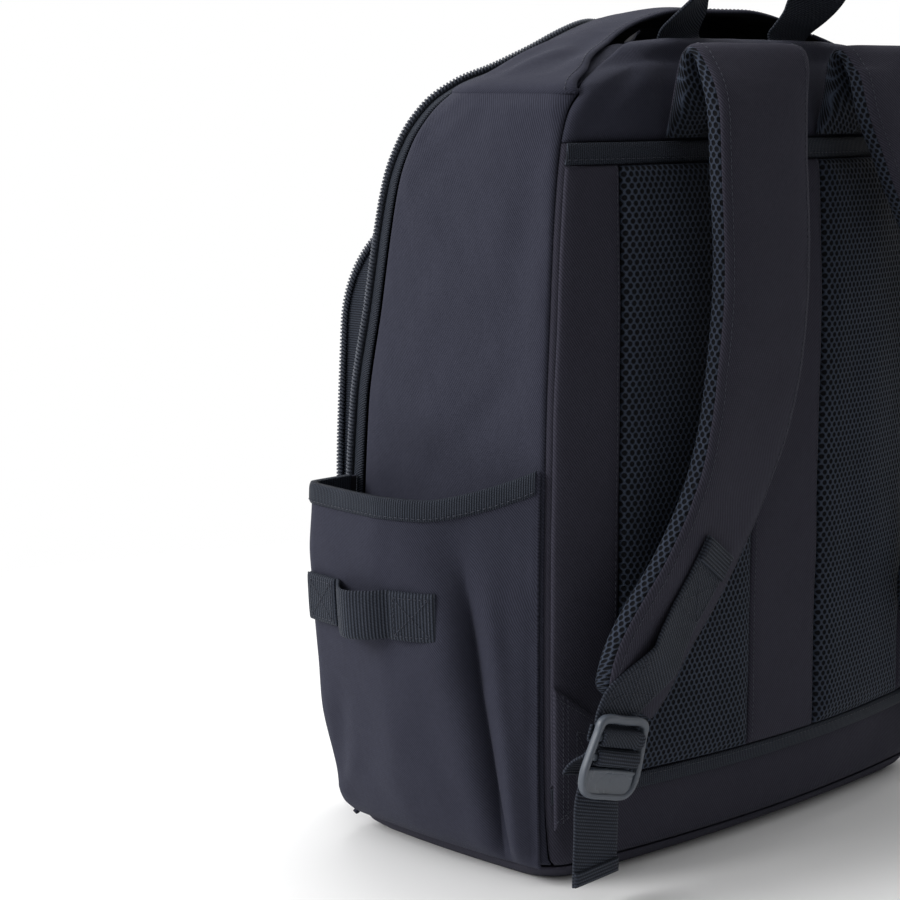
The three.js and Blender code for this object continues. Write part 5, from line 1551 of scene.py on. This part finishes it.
def lower_web(side):
    """The lower webbing: out of the wing, over the second bar and down as a tail."""
    behind = -3.2
    feed = [on_buckle(-13, behind - 12.5, 0), on_buckle(-9, behind - 11, 0),
        on_buckle(-5, behind - 8, 0), on_buckle(second_bar - 1.5, behind - 3.6)]
    turn = [on_buckle(u, o) for u, o in over_bar(second_bar)]
    tail = [on_buckle(plate_top + 0.6, behind), on_buckle(plate_top - 6, behind - 0.4),
        on_buckle(-tall / 2, behind - 0.4)]
    foot = tail[-1]
    hang = [foot + np.array([-2 * s, -3 * s, -41 * s]) for s in (0.35, 0.7, 1)]
    stations = [(p, buckle_across) for p in feed + turn + tail + hang]
    piece, p = ribbon(f"lower_web_{side}", stations, flip=side == "left", count=240)
    finish_piece(piece, f"lower_webbing_{side}", [webbing, webbing])
    hem = p[-19:-1]
    doubled = lapped(hem, grid_normal(hem), 1.5)
    finish_piece(cloth(f"web_hem_{side}", doubled, 1.5, 0.4, 1.5), None, [webbing, webbing])
    return p


for side, route in (("right", right_route), ("left", left_route)):
    strap_web(side, route)
    lower_web(side)

# %% [markdown]
# ## Wings and handle
# The three-cornered wing spreads the pull of the lower webbing along the back seam. The handle is
# one band sewn inside the yoke's edge, which turns a quarter on its way over the top.
# %% Wings
wing_low, wing_high, wing_reach = 31.0, 101.0, 24.0
u, v = np.meshgrid(between(0, 1, 50), between(0, 1, 110))
wing_mid = (wing_low + wing_high) / 2
wing_z = mix(mix(wing_low, wing_mid - 16.5, u), mix(wing_high, wing_mid + 16.5, u), v)
wing_x = mix(wide_at(wing_z) - 1.5, half_wide - wing_reach, u)
wing_base = np.stack([wing_x, back_face(wing_x, wing_z), wing_z], -1)
wing_lift = 1.2 + mix(2.2, 3.4, np.minimum(1, u * 2)) + 2 + u + 0.7 * np.sin(np.pi * u) * np.sin(np.pi * v)
wing_grid = lapped(wing_base, grid_normal(wing_base), wing_lift)
for side in ("right", "left"):
    p = wing_grid if side == "right" else mirror(wing_grid)
    finish_piece(cloth(f"wing_{side}", p, 2.4, 0.8, 2.5), f"strap_wing_{side}",
        [twill_back, lining])
    for col in (8, 13) if side == "right" else (41, 36):
        sew_on("wing_stitches", p, col=col, pitch=2.6, long=1.9)
    for row in (6, 103):
        sew_on("wing_stitches", p, row=row, pitch=2.6, long=1.9)
    sew_box("wing_stitches", p, (28, 82), (22, 46) if side == "right" else (3, 27), pitch=2.6, long=1.9)

# %% Handle
handle_x, handle_rise, handle_lean, handle_top = 43.0, 56.0, 34.0, mouth_high


def handle_seat(z):
    return float(back_face(np.array(handle_x), np.array(z))) - 8.4


reach = handle_seat(handle_top)
side_run = [((handle_x, handle_seat(handle_top - 12 * (1 - s)), handle_top - 12 * (1 - s)),
    0) for s in (0, 0.5, 1)]
for across, lean, up, turn in ((1.023, 0.04, 0.07, 0.04), (1.07, 0.3, 0.24, 0.2),
    (1.07, 0.58, 0.48, 0.5), (0.953, 0.8, 0.74, 0.8), (0.605, 0.94, 0.94, 0.96), (0.217, 1, 1, 1)):
    side_run.append(((handle_x * across, reach + handle_lean * lean, handle_top + handle_rise * up), turn))
handle_stations = []
for (x, y, z), turn in side_run:
    angle = np.pi / 2 * turn
    handle_stations.append((np.array([x, y, z]), np.array([np.cos(angle), np.sin(angle), 0])))
for (x, y, z), turn in side_run[::-1]:
    angle = np.pi / 2 * turn
    handle_stations.append((np.array([-x, y, z]), np.array([-np.cos(angle), np.sin(angle), 0])))
handle_piece = ribbon("handle_web", handle_stations, count=300)[0]
finish_piece(handle_piece, "carry_handle", [webbing, webbing])

# %% [markdown]
# ## Rows of stitches on the bag
# Each seam that shows gets its thread: beside the top band's lower edge and its mouth, on the tapes
# over the back, down the edge strips, under the pocket's binding and in boxes where webbing is sewn.
# %% Stitches
for p, row in ((upper_p, 2), (lower_p, 7)):
    lifted = lapped(p, grid_normal(p), 2.7)
    sew_on("tape_stitches", lifted, row=row, pitch=3.2, long=2.3)
strips = [lapped(edge_p, edge_n, edge_high), lapped(edge_left, grid_normal(edge_left), edge_high[:, ::-1])]
for k, p in enumerate(strips):
    sew_on("strip_stitches", p, col=36 if k == 0 else 3, pitch=3.2, long=2.3)
spine_top = lapped(spine_p, spine_n, spine_high)
for col in (3, 56):
    sew_on("strip_stitches", spine_top, col=col, pitch=3.2, long=2.3)
sew_on("band_stitches", band_cloth, row=41, pitch=3.2, long=2.3)
for side in ("right", "left"):
    p = hem_grid if side == "right" else mirror(hem_grid)
    sew_on("hem_stitches", p, row=2, pitch=3.0, long=2.1)


for group in list(stitch_rows):
    tie_off(group)

# %% [markdown]
# ## What each cloth was cut to
# A piece's flat size comes from the longest run across and along its own grid, and its area from the
# grid's cells. The loop skips pads, buckle plates and trims narrower than narrow_trim, and keeps nothing.
narrow_trim = 0.0105
for name, size in cut_sizes.items():
    piece = bpy.data.objects[name]
    wide, long, area = size
    if name.startswith("buckle_plate") or "pad" in name or min(wide, long,
        area / max(wide, long)) < narrow_trim:
        continue
    if area < 0.31 * wide * long:
        wide = area / long
    min(area, wide * long)

# %% [markdown]
# ## Floor, light and camera
# The bag stands on a plain pale floor in soft studio light from the left. The camera looks at the
# back and one side from a little above, through a long lens.
# %% The studio
floor_grid = np.array([[[x, y, 0.0] for x in (-6000, 6000)] for y in (-6000, 6000)])
floor = make_mesh("floor", floor_grid.reshape(-1, 3), [[0, 1, 3, 2]])
paper = Finish("floor_paper", Base_Color=(0.92, 0.92, 0.92, 1), Roughness=0.95, Specular_IOR_Level=0.1)
place = paper.node("ShaderNodeTexCoord", out=3)
far = Term(paper.tree, paper.node("ShaderNodeVectorMath", {"operation": "LENGTH"}, {0: place}, out=1))
paper.set(paper.shader, {"Alpha": 1 - ((far - 0.3) / 0.45).do("MAXIMUM", 0).do("MINIMUM", 1)})
floor.data.materials.append(paper.material)

world = bpy.data.worlds.new("studio")
world.use_nodes = True
sky = world.node_tree.nodes
way = sky.new("ShaderNodeTexCoord")
split = sky.new("ShaderNodeSeparateXYZ")
fade = sky.new("ShaderNodeMapRange")
fade.interpolation_type = "SMOOTHSTEP"
for slot, value in zip(fade.inputs[1:5], (-0.35, 0.75, 1.08, 0.29)):
    slot.default_value = value
world.node_tree.links.new(way.outputs["Generated"], split.inputs[0])
world.node_tree.links.new(split.outputs["Y"], fade.inputs[0])
world.node_tree.links.new(fade.outputs[0], sky["Background"].inputs["Strength"])
white = sky.new("ShaderNodeBackground")
ray = sky.new("ShaderNodeLightPath")
both = sky.new("ShaderNodeMixShader")
world.node_tree.links.new(ray.outputs["Is Camera Ray"], both.inputs[0])
world.node_tree.links.new(sky["Background"].outputs[0], both.inputs[1])
world.node_tree.links.new(white.outputs[0], both.inputs[2])
world.node_tree.links.new(both.outputs[0], sky["World Output"].inputs[0])
for background in (sky["Background"], white):
    background.inputs["Color"].default_value = (1, 1, 1, 1)
white.inputs["Strength"].default_value = 1.0
bpy.context.scene.world = world
bpy.context.scene.view_settings.view_transform = "Standard"


def light(name, at, towards, size, power):
    lamp = bpy.data.lights.new(name, "AREA")
    lamp.shape, lamp.size, lamp.energy = "DISK", size, power
    holder = bpy.data.objects.new(name, lamp)
    bpy.context.scene.collection.objects.link(holder)
    holder.location = at
    holder.rotation_euler = aim(at, towards)
    return holder


def aim(at, towards):
    """Turns -Z from one place to another, with up as near +Z as it can be."""
    return (Vector(towards) - Vector(at)).to_track_quat("-Z", "Y").to_euler()


light("key", (1.7, -0.8, 1.2), (0, 0, 0.2), 1.2, 26)
light("top", (-0.5, -0.6, 2.2), (0, 0, 0.2), 1.6, 16)

pan, tilt = np.radians(46), np.radians(8.95)
camera_at = np.array([0.930, 0.809, 0.384])
look = np.array([-np.cos(pan) * np.cos(tilt), -np.sin(pan) * np.cos(tilt), -np.sin(tilt)])
lens = bpy.data.cameras.new("camera")
lens.lens, lens.sensor_width, lens.clip_start = 92.4, 36, 0.01
camera = bpy.data.objects.new("camera", lens)
camera.location = camera_at
camera.rotation_euler = aim(camera_at, camera_at + look)
bpy.context.scene.collection.objects.link(camera)
bpy.context.scene.camera = camera

# %% Sizes, and finish
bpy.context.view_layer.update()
shown = [o.data for o in bpy.data.objects if o.type == "MESH"]
faces = sum(len(mesh.loop_triangles) or len(mesh.polygons) * 2 for mesh in shown)
print("about", faces, "triangles")
